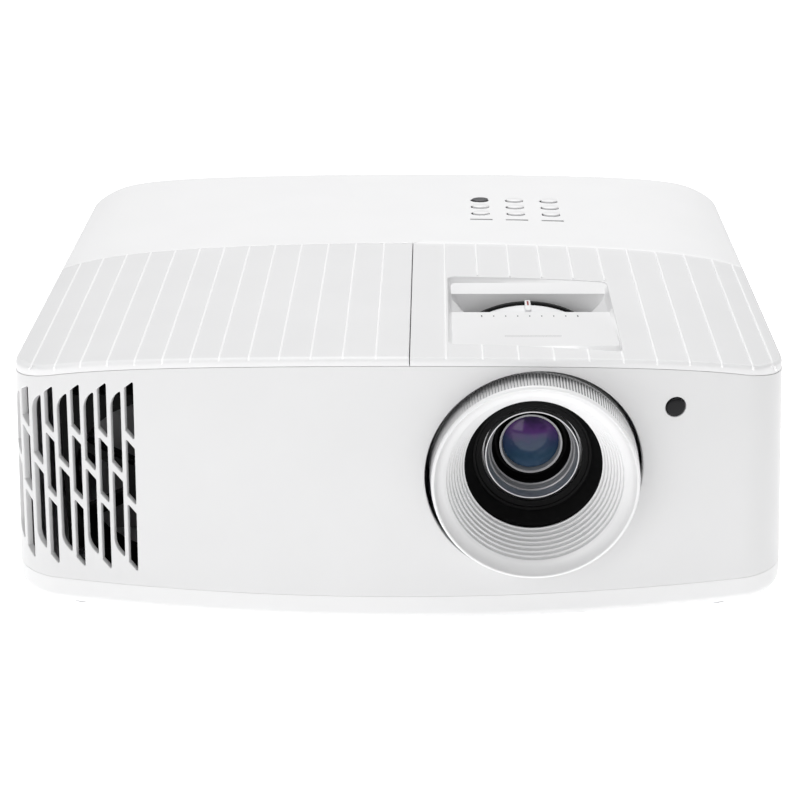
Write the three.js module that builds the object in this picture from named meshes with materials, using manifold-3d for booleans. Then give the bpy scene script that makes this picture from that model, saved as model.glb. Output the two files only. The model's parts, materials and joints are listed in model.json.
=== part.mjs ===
// Home projector: a white lamp-lit DLP projector with a manual focus ring, a zoom ring seen
// through a recess in the top, a lift-off lamp cover and three screw feet.
// Millimetres. +X is the lens side, -Y is the front, +Z is up, the feet rest on Z = 0.

import * as THREE from 'three';
import { mergeVertices } from 'three/addons/utils/BufferGeometryUtils.js';
import Module from 'manifold-3d';

const wasm = await Module();
wasm.setup();

// ---- driving dimensions -------------------------------------------------------------------

// Casing
const CASE_WIDTH = 315; // at the widest level, just above the base
const CASE_FRONT = -128; // middle of the bowed front face
const CASE_REAR = 135; // middle of the rear face
const FRONT_BOW = 22; // how far the front falls back at its two ends
const REAR_BOW = 4;
const CORNER_RADIUS = 19;
const WALL = 2.5;
const SIDE_DRAFT = 0.047; // inward lean of the two side walls, mm per mm of height
const BASE_BOTTOM = 2.5; // underside of the base
const BASE_EDGE = 4.5; // rounding between the underside and the walls
const BASE_TOP = 14.3; // parting line between base and middle case
const COVER_THICKNESS = 3.2; // top cover and lamp cover
const TOP_HEIGHT = 118; // highest point, at the middle of the rear edge
const FRONT_LOWER_BY = 2.7; // the top slopes down to the front by this much
const FRONT_CROWN = 11.3; // drop of the top from the middle to the sides, at the front
const FRONT_SHOULDER = 4.1;
const REAR_CROWN = 2.8; // the same at the rear, where the middle is flatter
const REAR_SHOULDER = 9;
const GAP = 0.35; // clearance between touching pieces

const CASE_HALF = CASE_WIDTH / 2;
const CASE_LENGTH = CASE_REAR - CASE_FRONT;
const FLOOR = BASE_BOTTOM + WALL; // inner face of the base

// Lens
const LENS_FROM_SIDE = 103.9; // lens axis to the right-hand side of the case
const LENS_BELOW_TOP = 49.781; // below the top surface there
const LENS_PROUD = 7; // the focus ring stands this far in front of the case
const FOCUS_RADIUS = 40.75;
const FOCUS_RIM = 4.2; // flat rim around the inner cone
const FOCUS_DEPTH = 27; // length of the focus ring along the lens axis
const FOCUS_SKIRT = 5.95; // wall of the focus ring where it runs on the barrel
const RUNNING_GAP = 0.8; // between the focus ring and the barrel
const HOLE_GAP = 2.05; // between the focus ring and the hole in the case
const CONE_DEPTH = 19;
const CONE_STEP = 6.8; // the cone ends this far inside the barrel's radius
const BARREL_WALL = 10;
const CELL_CLEARANCE = 0.5;
const CELL_STEP = 4.5; // from the radius of the lens cell to its silver front edge
const FUNNEL_STEP = 7.4; // from the silver edge to the front lens
const REAR_BORE_STEP = 7.6; // the bore narrows by this much around the rear lens
const ZOOM_RADIUS = 44;
const ZOOM_FROM_FRONT = 76; // front face of the zoom ring, behind the focus ring's rim
const ZOOM_WIDTH = 15.5;
const BARREL_LENGTH = 115; // rim of the focus ring to the rear face of the flange

const LENS_X = CASE_HALF - LENS_FROM_SIDE;
const LENS_Z = topHeight(LENS_X, 0) - LENS_BELOW_TOP;
const LENS_FRONT = CASE_FRONT - LENS_PROUD;
const BARREL_RADIUS = FOCUS_RADIUS - FOCUS_SKIRT - RUNNING_GAP;
const BARREL_BORE = BARREL_RADIUS - BARREL_WALL;
const CONE_END_RADIUS = BARREL_RADIUS - CONE_STEP;
const CELL_RADIUS = BARREL_BORE - CELL_CLEARANCE;
const SILVER_RADIUS = CELL_RADIUS - CELL_STEP;
const FRONT_LENS_RADIUS = SILVER_RADIUS - FUNNEL_STEP;
const REAR_BORE = BARREL_BORE - REAR_BORE_STEP;
const ZOOM_FRONT = LENS_FRONT + ZOOM_FROM_FRONT;
const ZOOM_REAR = ZOOM_FRONT + ZOOM_WIDTH;
const FLANGE_REAR = LENS_FRONT + BARREL_LENGTH;

// Lamp cover
const SEAM_X = LENS_X - 48.6; // its right-hand edge
const PATTERN_REAR = 18; // rear edge of the front zone of the top, on the middle line
const PATTERN_BOW = 2; // how far that edge bends forward at the sides

// Zoom recess in the top, around the zoom ring
const RECESS_LEFT = LENS_X - 33.2;
const RECESS_RIGHT = LENS_X + 34.2;
const RECESS_FRONT = ZOOM_FRONT - 52;
const RECESS_REAR = ZOOM_REAR + 15.5;
const SLOT_FRONT = ZOOM_FRONT - 1;
const SLOT_REAR = ZOOM_REAR + 5.5;
const LABEL_DEPTH = 4.6; // depth of the label plate at the slot
const RECESS_FLOOR = TOP_HEIGHT - 14; // level where the walls of the recess end inside

// Keypad
const KEYPAD_X = LENS_X - 0.5;
const KEYPAD_Y = CASE_REAR - 58.5;
const KEY_PITCH_X = 16.5;
const KEY_PITCH_Y = 10.9;
const KEY_WIDTH = 7.7;
const KEY_LENGTH = 5.8;
const KEY_RISE = 0.9;
const KEY_TRAVEL = 0.8;
const KEY_STEM = 6.4; // height of a key below the surface of the cover
const BAR_WIDTH = 10.2;
const BAR_LENGTH = 1.4;
const BAR_OFFSET = 21; // light bars lie this far in front of the middle row

// Infrared window
const IR_X = CASE_HALF - 48.8;
const IR_Z = TOP_HEIGHT - 26.9;
const IR_RADIUS = 3.7;

// Front grille: groups of slots, numbered from the lens side
const GRILLE_RIGHT = 55.4 - CASE_HALF;
const GRILLE_GROUPS = 5;
const GRILLE_PITCH = 11;
const GRILLE_DROP = 8.3; // from the top surface down to the tips of the slots
const GRILLE_BOTTOM = 20.4;
const GRILLE_LEAN = 0.028; // the columns lean outwards going down, mm per mm
const RIGHT_SLOT = 3.6;
const LEFT_SLOT = 4.15;
const RIB_WIDTH = 1.6;
const TIP_SLOPE = 0.82; // rise of the slot tips to the right, mm per mm
const BAR_SLOPE = 1.15; // fall of the bars and lower ends to the right, mm per mm
const BAR_HEIGHT = 3.5;
const RIGHT_BARS = [0.281, 0.566]; // bars of the right column, as shares of the height
const LEFT_BARS = [0.356]; // above the grille's bottom, and of the left column
const GRILLE_CUT_REAR = CASE_FRONT + 36; // the slots are cut straight back to this place

// Side intake grille and the fan behind it
const INTAKE_COUNT = 9;
const INTAKE_PITCH = 8;
const INTAKE_Y = -30;
const INTAKE_Z = 46;
const INTAKE_HEIGHT = 54;
const INTAKE_SLOT = 4;
const INTAKE_SLANT = 5; // rise of the slot ends across one slot
const INTAKE_SIZE = 70;
const INTAKE_FAN_X = CASE_HALF - 23.5;

// Rear connectors, on the main board
const PANEL_INSET = 7.5; // the connector panel lies this far inside the rear face
const PANEL_THICKNESS = 1.2;
const PANEL_LEFT = LENS_X - 115.6;
const PANEL_RIGHT = LENS_X + 58.4;
const PANEL_BOTTOM = 21;
const PANEL_TOP = 45;
const PANEL_MARGIN = 3; // the panel reaches this far past its opening
const PORT_DEPTH = 14;
const PORT_PROUD = 1; // the sockets stand this far out of the panel
const BOARD = 1.6; // thickness of every circuit board
const BOARD_TOP = 24.4; // upper face of the main board
const INLET_X = 49.5 - CASE_HALF;
const INLET_Z = 36;
const INLET_WIDTH = 30;
const INLET_HEIGHT = 23;
const PANEL_Y = CASE_REAR - PANEL_INSET;

// Feet
const FOOT_RADIUS = 6.5;
const FOOT_HEIGHT = 4.6; // the pads sit partly in pockets of the base
const STEM_RADIUS = 3.4;
const STEM_LENGTH = 16;
const FRONT_FOOT_X = CASE_HALF - 27.5;
const FRONT_FOOT_Y = CASE_FRONT + 29;
const REAR_FOOT_Y = CASE_REAR - 31;

// Exhaust fan behind the front grille
const FAN_DEPTH = 18;
const EXHAUST_SIZE = 80;
const EXHAUST_X = 20.5 - CASE_HALF + EXHAUST_SIZE / 2;
const EXHAUST_Y = CASE_FRONT + 48;

// Lamp and light path
const LAMP_AXIS_Y = -10;
const LAMP_AXIS_Z = LENS_Z - 6;
const HOUSING_LEFT = 25.5 - CASE_HALF;
const HOUSING_LENGTH = 76;
const HOUSING_HALF = 33;
const REFLECTOR_RADIUS = 27;
const REFLECTOR_DEPTH = 34;
const LAMP_MOUTH = HOUSING_LEFT + HOUSING_LENGTH - 2; // the reflector opens here, towards +X
const WHEEL_X = LAMP_MOUTH + 8;
const WHEEL_RADIUS = 22;
const WHEEL_THICKNESS = 1.2;
const WHEEL_OFFSET = 18; // the wheel's axis lies this far below the lamp's
const ROD_SIZE = 6;
const ENGINE_LEFT = LENS_X - 45.6;
const ENGINE_RIGHT = LENS_X + 50.4;
const ENGINE_LENGTH = 63.65;
const ENGINE_BOTTOM = 24;
const ENGINE_TOP = LENS_Z + 30;
const ENGINE_REAR = FLANGE_REAR + GAP + ENGINE_LENGTH;

// ---- colours ------------------------------------------------------------------------------

const WHITE = { color: 0xeeeeef, roughness: 0.35, metalness: 0 };
const MATTE_WHITE = { color: 0xe4e4e6, roughness: 0.6, metalness: 0 };
const BLACK = { color: 0x141416, roughness: 0.4, metalness: 0 };
const DARK_GREY = { color: 0x3a3a3e, roughness: 0.6, metalness: 0 };
const RUBBER = { color: 0x1c1c1c, roughness: 0.9, metalness: 0 };
const GLASS = { color: 0x3d4f86, roughness: 0.05, metalness: 0 };
const ALUMINIUM = { color: 0xb9bcc0, roughness: 0.35, metalness: 1 };
const STEEL = { color: 0x9a9da1, roughness: 0.4, metalness: 1 };
const GREEN_BOARD = { color: 0x1f5a34, roughness: 0.6, metalness: 0 };

// ---- solids -------------------------------------------------------------------------------

const MERGE_TOLERANCE = 1e-4;

/** Six times the volume of an indexed mesh; negative when its faces point inwards. */
function signedVolume(position, index) {
  const a = new THREE.Vector3();
  const b = new THREE.Vector3();
  const c = new THREE.Vector3();
  let total = 0;
  for (let i = 0; i < index.length; i += 3) {
    a.fromBufferAttribute(position, index[i]);
    b.fromBufferAttribute(position, index[i + 1]);
    c.fromBufferAttribute(position, index[i + 2]);
    total += a.dot(b.cross(c));
  }
  return total;
}

/** A three.js geometry as a manifold solid, with shared vertices merged and faces outwards. */
function solid(geometry) {
  geometry.deleteAttribute('normal');
  geometry.deleteAttribute('uv');
  const merged = mergeVertices(geometry, MERGE_TOLERANCE);
  const corners = [];
  for (let i = 0; i < merged.index.count; i += 3) {
    const [a, b, c] = [0, 1, 2].map((k) => merged.index.getX(i + k));
    if (a !== b && b !== c && c !== a) corners.push(a, b, c);
  }
  if (signedVolume(merged.attributes.position, corners) < 0) corners.reverse();
  return new wasm.Manifold(new wasm.Mesh({
    numProp: 3,
    vertProperties: new Float32Array(merged.attributes.position.array),
    triVerts: new Uint32Array(corners),
  }));
}

/** A manifold solid as a three.js geometry. */
function geometryOf(body) {
  const mesh = body.getMesh();
  const geometry = new THREE.BufferGeometry();
  geometry.setAttribute('position', new THREE.BufferAttribute(mesh.vertProperties, 3));
  geometry.setIndex(new THREE.BufferAttribute(mesh.triVerts, 1));
  geometry.computeVertexNormals();
  return geometry;
}

/** A box between two corners. */
function box(low, high) {
  const size = high.map((value, k) => value - low[k]);
  const centre = high.map((value, k) => (value + low[k]) / 2);
  return solid(new THREE.BoxGeometry(...size).translate(...centre));
}

/** A cylinder along x, y or z between two places on that axis; across gives the other two. */
function rod(axis, radius, from, to, across, sides = 16) {
  const geometry = new THREE.CylinderGeometry(radius, radius, to - from, sides);
  geometry.translate(0, (from + to) / 2, 0);
  if (axis === 'z') geometry.rotateX(Math.PI / 2).translate(across[0], across[1], 0);
  if (axis === 'x') geometry.rotateZ(-Math.PI / 2).translate(0, across[0], across[1]);
  if (axis === 'y') geometry.translate(across[0], 0, across[1]);
  return solid(geometry);
}

/** A solid turned about an axis parallel to Y; each profile point is [radius, y]. */
function turned(profile, x, z, sides = 28) {
  const points = profile.map(([radius, y]) => new THREE.Vector2(radius, y));
  const first = profile[0];
  if (first[0] > 0) points.push(points[0].clone());
  return solid(new THREE.LatheGeometry(points, sides).translate(x, 0, z));
}

/** A polygon [x, z] pushed along Y from one place to another. */
function slab(outline, from, to) {
  const shape = new THREE.Shape(outline.map(([x, z]) => new THREE.Vector2(x, z)));
  const geometry = new THREE.ExtrudeGeometry(shape, { depth: to - from, bevelEnabled: false });
  return solid(geometry.rotateX(Math.PI / 2).translate(0, to, 0));
}

/** A polygon [y, z] pushed along X from one place to another. */
function sideSlab(outline, from, to) {
  const shape = new THREE.Shape(outline.map(([y, z]) => new THREE.Vector2(y, z)));
  const geometry = new THREE.ExtrudeGeometry(shape, { depth: to - from, bevelEnabled: false });
  geometry.rotateY(Math.PI / 2).rotateX(Math.PI / 2);
  return solid(geometry.translate(from, 0, 0));
}

function join(...bodies) {
  return bodies.reduce((sum, body) => sum.add(body));
}

// ---- casing surfaces ----------------------------------------------------------------------

const CORNER_PULL = 0.55; // handle length of the corner curves, as a share of the radius
const BOW_STEPS = 6;

/** Height of the outer top surface above the feet at a place in plan. */
function topHeight(x, y) {
  const across = Math.abs(x) / CASE_HALF;
  const along = (y - CASE_FRONT) / CASE_LENGTH;
  const middle = TOP_HEIGHT - FRONT_LOWER_BY * (1 - along);
  const front = FRONT_CROWN * across ** 2 + FRONT_SHOULDER * across ** 6;
  const rear = REAR_CROWN * across ** 2 + REAR_SHOULDER * across ** 10;
  return middle - front * (1 - along) - rear * along;
}

/** Outer front surface at its widest level, as a place in Y for each X. */
function frontAt(x) {
  return CASE_FRONT + FRONT_BOW * (x / CASE_HALF) ** 2;
}

/** Plan outline of the casing, moved inwards by inset. */
function planShape(inset) {
  const half = CASE_HALF - inset;
  const radius = Math.max(CORNER_RADIUS - inset, 2);
  const flat = half - radius;
  const shape = new THREE.Shape();
  const frontY = (x) => frontAt(x) + inset;
  const rearY = (x) => CASE_REAR - REAR_BOW * (x / CASE_HALF) ** 2 - inset;
  const frontSlope = (2 * FRONT_BOW * flat) / CASE_HALF ** 2;
  const rearSlope = (2 * REAR_BOW * flat) / CASE_HALF ** 2;
  const pull = CORNER_PULL * radius;
  shape.moveTo(-flat, frontY(-flat));
  shape.quadraticCurveTo(0, frontY(flat) - frontSlope * flat, flat, frontY(flat));
  shape.bezierCurveTo(
    flat + pull, frontY(flat) + frontSlope * pull,
    half, frontY(half) + radius - pull, half, frontY(half) + radius,
  );
  shape.lineTo(half, rearY(half) - radius);
  shape.bezierCurveTo(
    half, rearY(half) - radius + pull,
    flat + pull, rearY(flat) - rearSlope * pull, flat, rearY(flat),
  );
  shape.quadraticCurveTo(0, rearY(flat) + rearSlope * flat, -flat, rearY(flat));
  shape.bezierCurveTo(
    -flat - pull, rearY(flat) - rearSlope * pull,
    -half, rearY(half) - radius + pull, -half, rearY(half) - radius,
  );
  shape.lineTo(-half, frontY(half) + radius);
  shape.bezierCurveTo(
    -half, frontY(half) + radius - pull,
    -flat - pull, frontY(flat) + frontSlope * pull, -flat, frontY(flat),
  );
  return shape;
}

/** Solid with the casing's plan, leaning sides and rounded base edge, through the levels. */
function casingSolid(inset, levels) {
  const steps = levels.length - 1;
  const geometry = new THREE.ExtrudeGeometry(planShape(inset), {
    depth: steps,
    steps,
    curveSegments: BOW_STEPS,
    bevelEnabled: false,
  });
  const position = geometry.attributes.position;
  const middleY = (CASE_FRONT + CASE_REAR) / 2;
  for (let i = 0; i < position.count; i += 1) {
    const z = levels[Math.round(position.getZ(i))];
    const edge = edgeInset(z - inset);
    const x = position.getX(i) * (1 - (edge + sideLean(z)) / CASE_HALF);
    const y = middleY + (position.getY(i) - middleY) * (1 - (2 * edge) / CASE_LENGTH);
    position.setXYZ(i, x, y, z);
  }
  return solid(geometry);
}

/** How far the side walls have leaned inwards at a level. */
function sideLean(z) {
  return SIDE_DRAFT * Math.max(z - BASE_TOP, 0);
}

/** How far the rounded base edge lies inside the walls at a level. */
function edgeInset(z) {
  const below = BASE_EDGE - Math.max(z - BASE_BOTTOM, 0);
  if (below <= 0) return 0;
  return BASE_EDGE - Math.sqrt(BASE_EDGE ** 2 - below ** 2);
}

const EDGE_LEVELS = [0, 0.22, 1].map((share) => BASE_BOTTOM + share * BASE_EDGE);
const CEILING = TOP_HEIGHT + WALL; // a level above every surface
const UNDER_COVER = TOP_HEIGHT - 28; // a level below the top cover, for cuts through it

const CROWN_ACROSS = 18;
const CROWN_ALONG = 5;

/** Everything under the top surface, with that surface lowered by depth. */
function underTop(depth) {
  const width = CASE_WIDTH + 2 * WALL;
  const length = CASE_LENGTH + 2 * WALL;
  const geometry = new THREE.BoxGeometry(width, length, 1, CROWN_ACROSS, CROWN_ALONG, 1);
  geometry.translate(0, (CASE_FRONT + CASE_REAR) / 2, 0);
  const position = geometry.attributes.position;
  for (let i = 0; i < position.count; i += 1) {
    const isTop = position.getZ(i) > 0;
    const height = topHeight(position.getX(i), position.getY(i)) - depth;
    position.setZ(i, isTop ? height : -WALL);
  }
  return solid(geometry);
}

const OUTER = casingSolid(0, [...EDGE_LEVELS, BASE_TOP, CEILING]);
const COVER_LAYER = OUTER.intersect(underTop(0)).subtract(underTop(COVER_THICKNESS));
const WALL_REACH = 30; // cutters run this far past a wall

/** Plan region of the lamp cover, grown by margin on its two inner edges. */
function lampRegion(margin) {
  const left = -CASE_HALF - WALL_REACH;
  const right = SEAM_X + margin;
  const edge = (x) => PATTERN_REAR + margin - PATTERN_BOW * (x / CASE_HALF) ** 2;
  const steps = 12;
  const outline = [new THREE.Vector2(left, CASE_FRONT - WALL_REACH)];
  outline.push(new THREE.Vector2(right, CASE_FRONT - WALL_REACH));
  for (let i = 0; i <= steps; i += 1) {
    const x = right + ((-CASE_HALF - right) * i) / steps;
    outline.push(new THREE.Vector2(x, edge(x)));
  }
  outline.push(new THREE.Vector2(left, edge(-CASE_HALF)));
  const shape = new THREE.Shape(outline);
  return solid(new THREE.ExtrudeGeometry(shape, { depth: TOP_HEIGHT * 2, bevelEnabled: false }));
}

// ---- casing pieces ------------------------------------------------------------------------

const BOSS_PLACES = {
  front_left: [LENS_X - 83.6, CASE_FRONT + 32],
  front_right: [CASE_HALF - 49.5, CASE_FRONT + 68],
  rear_left: [45.5 - CASE_HALF, CASE_REAR - 22],
  rear_right: [CASE_HALF - 45.5, CASE_REAR - 22],
};
const BOSS_RADIUS = 6;
const BOSS_HOLE = 2;
const BOSS_TOP = 9;

function footPlaces() {
  return {
    front_left: [-FRONT_FOOT_X, FRONT_FOOT_Y],
    front_right: [FRONT_FOOT_X, FRONT_FOOT_Y],
    rear: [0, REAR_FOOT_Y],
  };
}

function baseCase() {
  const whole = OUTER.intersect(box(
    [-CASE_WIDTH, CASE_FRONT - WALL_REACH, 0],
    [CASE_WIDTH, CASE_REAR + WALL_REACH, BASE_TOP],
  ));
  const insideLevels = [...EDGE_LEVELS.map((z) => z + WALL), CEILING];
  let base = whole.subtract(casingSolid(WALL, insideLevels));
  for (const [x, y] of Object.values(BOSS_PLACES)) {
    base = base.add(rod('z', BOSS_RADIUS, BASE_BOTTOM, BOSS_TOP, [x, y]));
    base = base.subtract(rod('z', BOSS_HOLE, 0, BOSS_TOP + 1, [x, y], 8));
  }
  const pocketTop = FOOT_HEIGHT + 2 * GAP;
  for (const [x, y] of Object.values(footPlaces())) {
    const pocket = rod('z', FOOT_RADIUS + 3 * GAP, 0, pocketTop, [x, y]);
    const bush = rod('z', STEM_RADIUS + WALL, BASE_BOTTOM, BASE_TOP, [x, y]);
    const cup = rod('z', FOOT_RADIUS + WALL + 1, BASE_BOTTOM, pocketTop + WALL, [x, y]);
    base = base.add(join(bush, cup).intersect(whole)).subtract(pocket);
    base = base.subtract(rod('z', STEM_RADIUS + GAP, 0, BASE_TOP + 1, [x, y]));
  }
  return base;
}

/** The slot outlines [x, z] of one grille group; right is its right-hand edge at the tips. */
function grilleGroup(right) {
  const top = topHeight(right, frontAt(right)) - GRILLE_DROP;
  const point = (offset, z) => [right - offset + GRILLE_LEAN * (z - top), z];
  const column = (near, far, bars) => {
    const edges = [[BAR_SLOPE, GRILLE_BOTTOM]];
    for (const share of bars) {
      const middle = GRILLE_BOTTOM + share * (TOP_HEIGHT - GRILLE_BOTTOM);
      edges.push([BAR_SLOPE, middle - BAR_HEIGHT / 2], [BAR_SLOPE, middle + BAR_HEIGHT / 2]);
    }
    edges.push([-TIP_SLOPE, top]);
    const slots = [];
    for (let i = 0; i < edges.length; i += 2) {
      const [low, high] = [edges[i], edges[i + 1]];
      const corner = (offset, [slope, z]) => point(offset, z + slope * offset);
      slots.push([corner(far, low), corner(near, low), corner(near, high), corner(far, high)]);
    }
    return slots;
  };
  const leftStart = RIGHT_SLOT + RIB_WIDTH;
  return [
    ...column(0, RIGHT_SLOT, RIGHT_BARS),
    ...column(leftStart, leftStart + LEFT_SLOT, LEFT_BARS),
  ];
}

function rearOpenings() {
  const back = [CASE_REAR - WALL_REACH, CASE_REAR + WALL_REACH];
  const panel = box([PANEL_LEFT, back[0], PANEL_BOTTOM], [PANEL_RIGHT, back[1], PANEL_TOP]);
  const half = [INLET_WIDTH / 2 + GAP, INLET_HEIGHT / 2 + GAP];
  const inlet = box(
    [INLET_X - half[0], back[0], INLET_Z - half[1]],
    [INLET_X + half[0], back[1], INLET_Z + half[1]],
  );
  return panel.add(inlet);
}

function middleCase() {
  const outside = casingSolid(0, [BASE_TOP + GAP, CEILING]);
  let walls = outside.subtract(casingSolid(WALL, [BASE_TOP, CEILING]));
  walls = walls.intersect(underTop(COVER_THICKNESS + GAP));
  for (let group = 0; group < GRILLE_GROUPS; group += 1) {
    for (const outline of grilleGroup(GRILLE_RIGHT - group * GRILLE_PITCH)) {
      walls = walls.subtract(slab(outline, CASE_FRONT - 1, GRILLE_CUT_REAR));
    }
  }
  for (let i = 0; i < INTAKE_COUNT; i += 1) {
    const y = INTAKE_Y + (i - (INTAKE_COUNT - 1) / 2) * INTAKE_PITCH;
    const [front, rear] = [y - INTAKE_SLOT / 2, y + INTAKE_SLOT / 2];
    const [low, high] = [INTAKE_Z - INTAKE_HEIGHT / 2, INTAKE_Z + INTAKE_HEIGHT / 2];
    const outline = [
      [front, low],
      [rear, low + INTAKE_SLANT],
      [rear, high + INTAKE_SLANT],
      [front, high],
    ];
    walls = walls.subtract(sideSlab(outline, CASE_HALF - WALL_REACH, CASE_HALF + 1));
  }
  const holeEnds = [CASE_FRONT - 1, CASE_FRONT + WALL_REACH];
  const lensHole = rod('y', FOCUS_RADIUS + HOLE_GAP, ...holeEnds, [LENS_X, LENS_Z], 36);
  walls = walls.subtract(lensHole);
  walls = walls.subtract(irCylinder(IR_RADIUS + GAP, -WALL_REACH, WALL_REACH));
  return walls.subtract(rearOpenings());
}

/** Cylinder along the outward direction of the front face at the infrared window. */
function irCylinder(radius, from, to) {
  const turn = Math.atan((2 * FRONT_BOW * IR_X) / CASE_HALF ** 2);
  const geometry = new THREE.CylinderGeometry(radius, radius, to - from, 16);
  geometry.translate(0, (from + to) / 2, 0).rotateZ(turn);
  return solid(geometry.translate(IR_X, frontAt(IR_X), IR_Z));
}

/** Elliptical outline of a key, extruded upwards between two heights. */
function keyColumn(x, y, grow, from, to) {
  const shape = new THREE.Shape();
  shape.absellipse(x, y, KEY_WIDTH / 2 + grow, KEY_LENGTH / 2 + grow, 0, 2 * Math.PI);
  const options = { depth: to - from, bevelEnabled: false, curveSegments: 9 };
  return solid(new THREE.ExtrudeGeometry(shape, options).translate(0, 0, from));
}

function keyPlaces() {
  const names = [
    ['key_power', 'key_source', 'key_info'],
    ['key_up', 'key_enter', 'key_down'],
    ['key_menu', 'key_left', 'key_right'],
  ];
  const places = [];
  names.forEach((column, i) => {
    column.forEach((name, j) => {
      places.push([name, KEYPAD_X + (i - 1) * KEY_PITCH_X, KEYPAD_Y - (j - 1) * KEY_PITCH_Y]);
    });
  });
  return places;
}

function barPlaces() {
  const names = ['light_bar_power', 'light_bar_lamp', 'light_bar_temperature'];
  return names.map((name, i) => [name, KEYPAD_X + (i - 1) * KEY_PITCH_X, KEYPAD_Y - BAR_OFFSET]);
}

/** Height of the label plate, which meets the top surface at its front edge. */
function labelHeight(y) {
  const share = (y - RECESS_FRONT) / (SLOT_FRONT - RECESS_FRONT);
  const middle = (RECESS_LEFT + RECESS_RIGHT) / 2;
  return topHeight(middle, RECESS_FRONT) - 0.8 - (LABEL_DEPTH - 3) * share;
}

function topCover() {
  const plate = 2;
  let cover = COVER_LAYER.subtract(lampRegion(GAP));
  cover = cover.subtract(box(
    [RECESS_LEFT, RECESS_FRONT, UNDER_COVER],
    [RECESS_RIGHT, RECESS_REAR, CEILING],
  ));
  const side = (x) => sideSlab([
    [RECESS_FRONT - plate, labelHeight(RECESS_FRONT) - 4],
    [SLOT_REAR + plate, RECESS_FLOOR],
    [RECESS_REAR + plate, RECESS_FLOOR],
    [RECESS_REAR + plate, topHeight(x, RECESS_REAR) - 1],
    [RECESS_FRONT - plate, topHeight(x, RECESS_FRONT) - 1],
  ], x, x + plate);
  const label = sideSlab([
    [RECESS_FRONT - plate, labelHeight(RECESS_FRONT)],
    [RECESS_FRONT - plate, labelHeight(RECESS_FRONT) - plate],
    [SLOT_FRONT, labelHeight(SLOT_FRONT) - plate],
    [SLOT_FRONT, labelHeight(SLOT_FRONT)],
  ], RECESS_LEFT - plate, RECESS_RIGHT + plate);
  const top = topHeight(KEYPAD_X, RECESS_REAR);
  const back = sideSlab([
    [RECESS_REAR, top - 0.8],
    [SLOT_REAR, top - LABEL_DEPTH],
    [SLOT_REAR, RECESS_FLOOR],
    [RECESS_REAR + plate, RECESS_FLOOR],
    [RECESS_REAR + plate, top - 1.5],
  ], RECESS_LEFT - plate, RECESS_RIGHT + plate);
  cover = join(cover, side(RECESS_LEFT - plate), side(RECESS_RIGHT), label, back);
  for (const [, x, y] of keyPlaces()) {
    cover = cover.subtract(keyColumn(x, y, GAP, UNDER_COVER, CEILING));
  }
  for (const [, x, y] of barPlaces()) {
    const half = [BAR_WIDTH / 2 + GAP, BAR_LENGTH / 2 + GAP];
    cover = cover.subtract(box(
      [x - half[0], y - half[1], UNDER_COVER],
      [x + half[0], y + half[1], CEILING],
    ));
  }
  return cover;
}

function lampCover() {
  return COVER_LAYER.intersect(lampRegion(0));
}

// ---- rear connectors ----------------------------------------------------------------------

// name, distance from the panel's left end, then width and height of the body and of its mouth
const PORTS = [
  ['service_usb_port', 12, 9, 6, 7, 4.2],
  ['hdmi_port_1', 34, 17, 8, 14.4, 4.8],
  ['hdmi_port_2', 58, 17, 8, 14.4, 4.8],
  ['usb_power_port', 82, 15, 8.5, 12.6, 5.2],
  ['serial_port', 112, 31, 12.5, 17, 8.4],
];
// name, distance from the panel's left end and half the width of the block
const JACKS = [
  ['audio_jack', 140, 5],
  ['trigger_jack', 158, 5],
];
const JACK_BORE = 1.8;

function socket(place, width, height, mouthWidth, mouthHeight) {
  const x = PANEL_LEFT + place;
  const rear = PANEL_Y + PORT_PROUD;
  const front = rear - PORT_DEPTH;
  const middle = BOARD_TOP + GAP + height / 2;
  const body = box(
    [x - width / 2, front, middle - height / 2],
    [x + width / 2, rear, middle + height / 2],
  );
  return body.subtract(box(
    [x - mouthWidth / 2, front + 3, middle - mouthHeight / 2],
    [x + mouthWidth / 2, rear + 1, middle + mouthHeight / 2],
  ));
}

function jack(place, radius) {
  const x = PANEL_LEFT + place;
  const rear = PANEL_Y + PORT_PROUD;
  const middle = BOARD_TOP + GAP + radius;
  const block = box(
    [x - radius, rear - PORT_DEPTH, middle - radius],
    [x + radius, PANEL_Y - PANEL_THICKNESS - GAP, middle + radius],
  );
  const collar = rod('y', radius - 1, rear - PORT_DEPTH, rear, [x, middle]);
  return block.add(collar).subtract(rod('y', JACK_BORE, rear - 10, rear + 1, [x, middle], 12));
}

function ioPanel() {
  let panel = box(
    [PANEL_LEFT - PANEL_MARGIN, PANEL_Y - PANEL_THICKNESS, PANEL_BOTTOM - PANEL_MARGIN],
    [PANEL_RIGHT + PANEL_MARGIN, PANEL_Y, PANEL_TOP + PANEL_MARGIN],
  );
  for (const [, place, width, height] of PORTS) {
    const x = PANEL_LEFT + place;
    const half = width / 2 + GAP;
    panel = panel.subtract(box(
      [x - half, PANEL_Y - WALL, BOARD_TOP],
      [x + half, PANEL_Y + 1, BOARD_TOP + height + 2 * GAP],
    ));
  }
  for (const [, place, radius] of JACKS) {
    const centre = [PANEL_LEFT + place, BOARD_TOP + GAP + radius];
    const reach = [PANEL_Y - WALL_REACH, CASE_REAR];
    panel = panel.subtract(rod('y', radius - 1 + GAP, ...reach, centre));
  }
  return panel;
}

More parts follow.
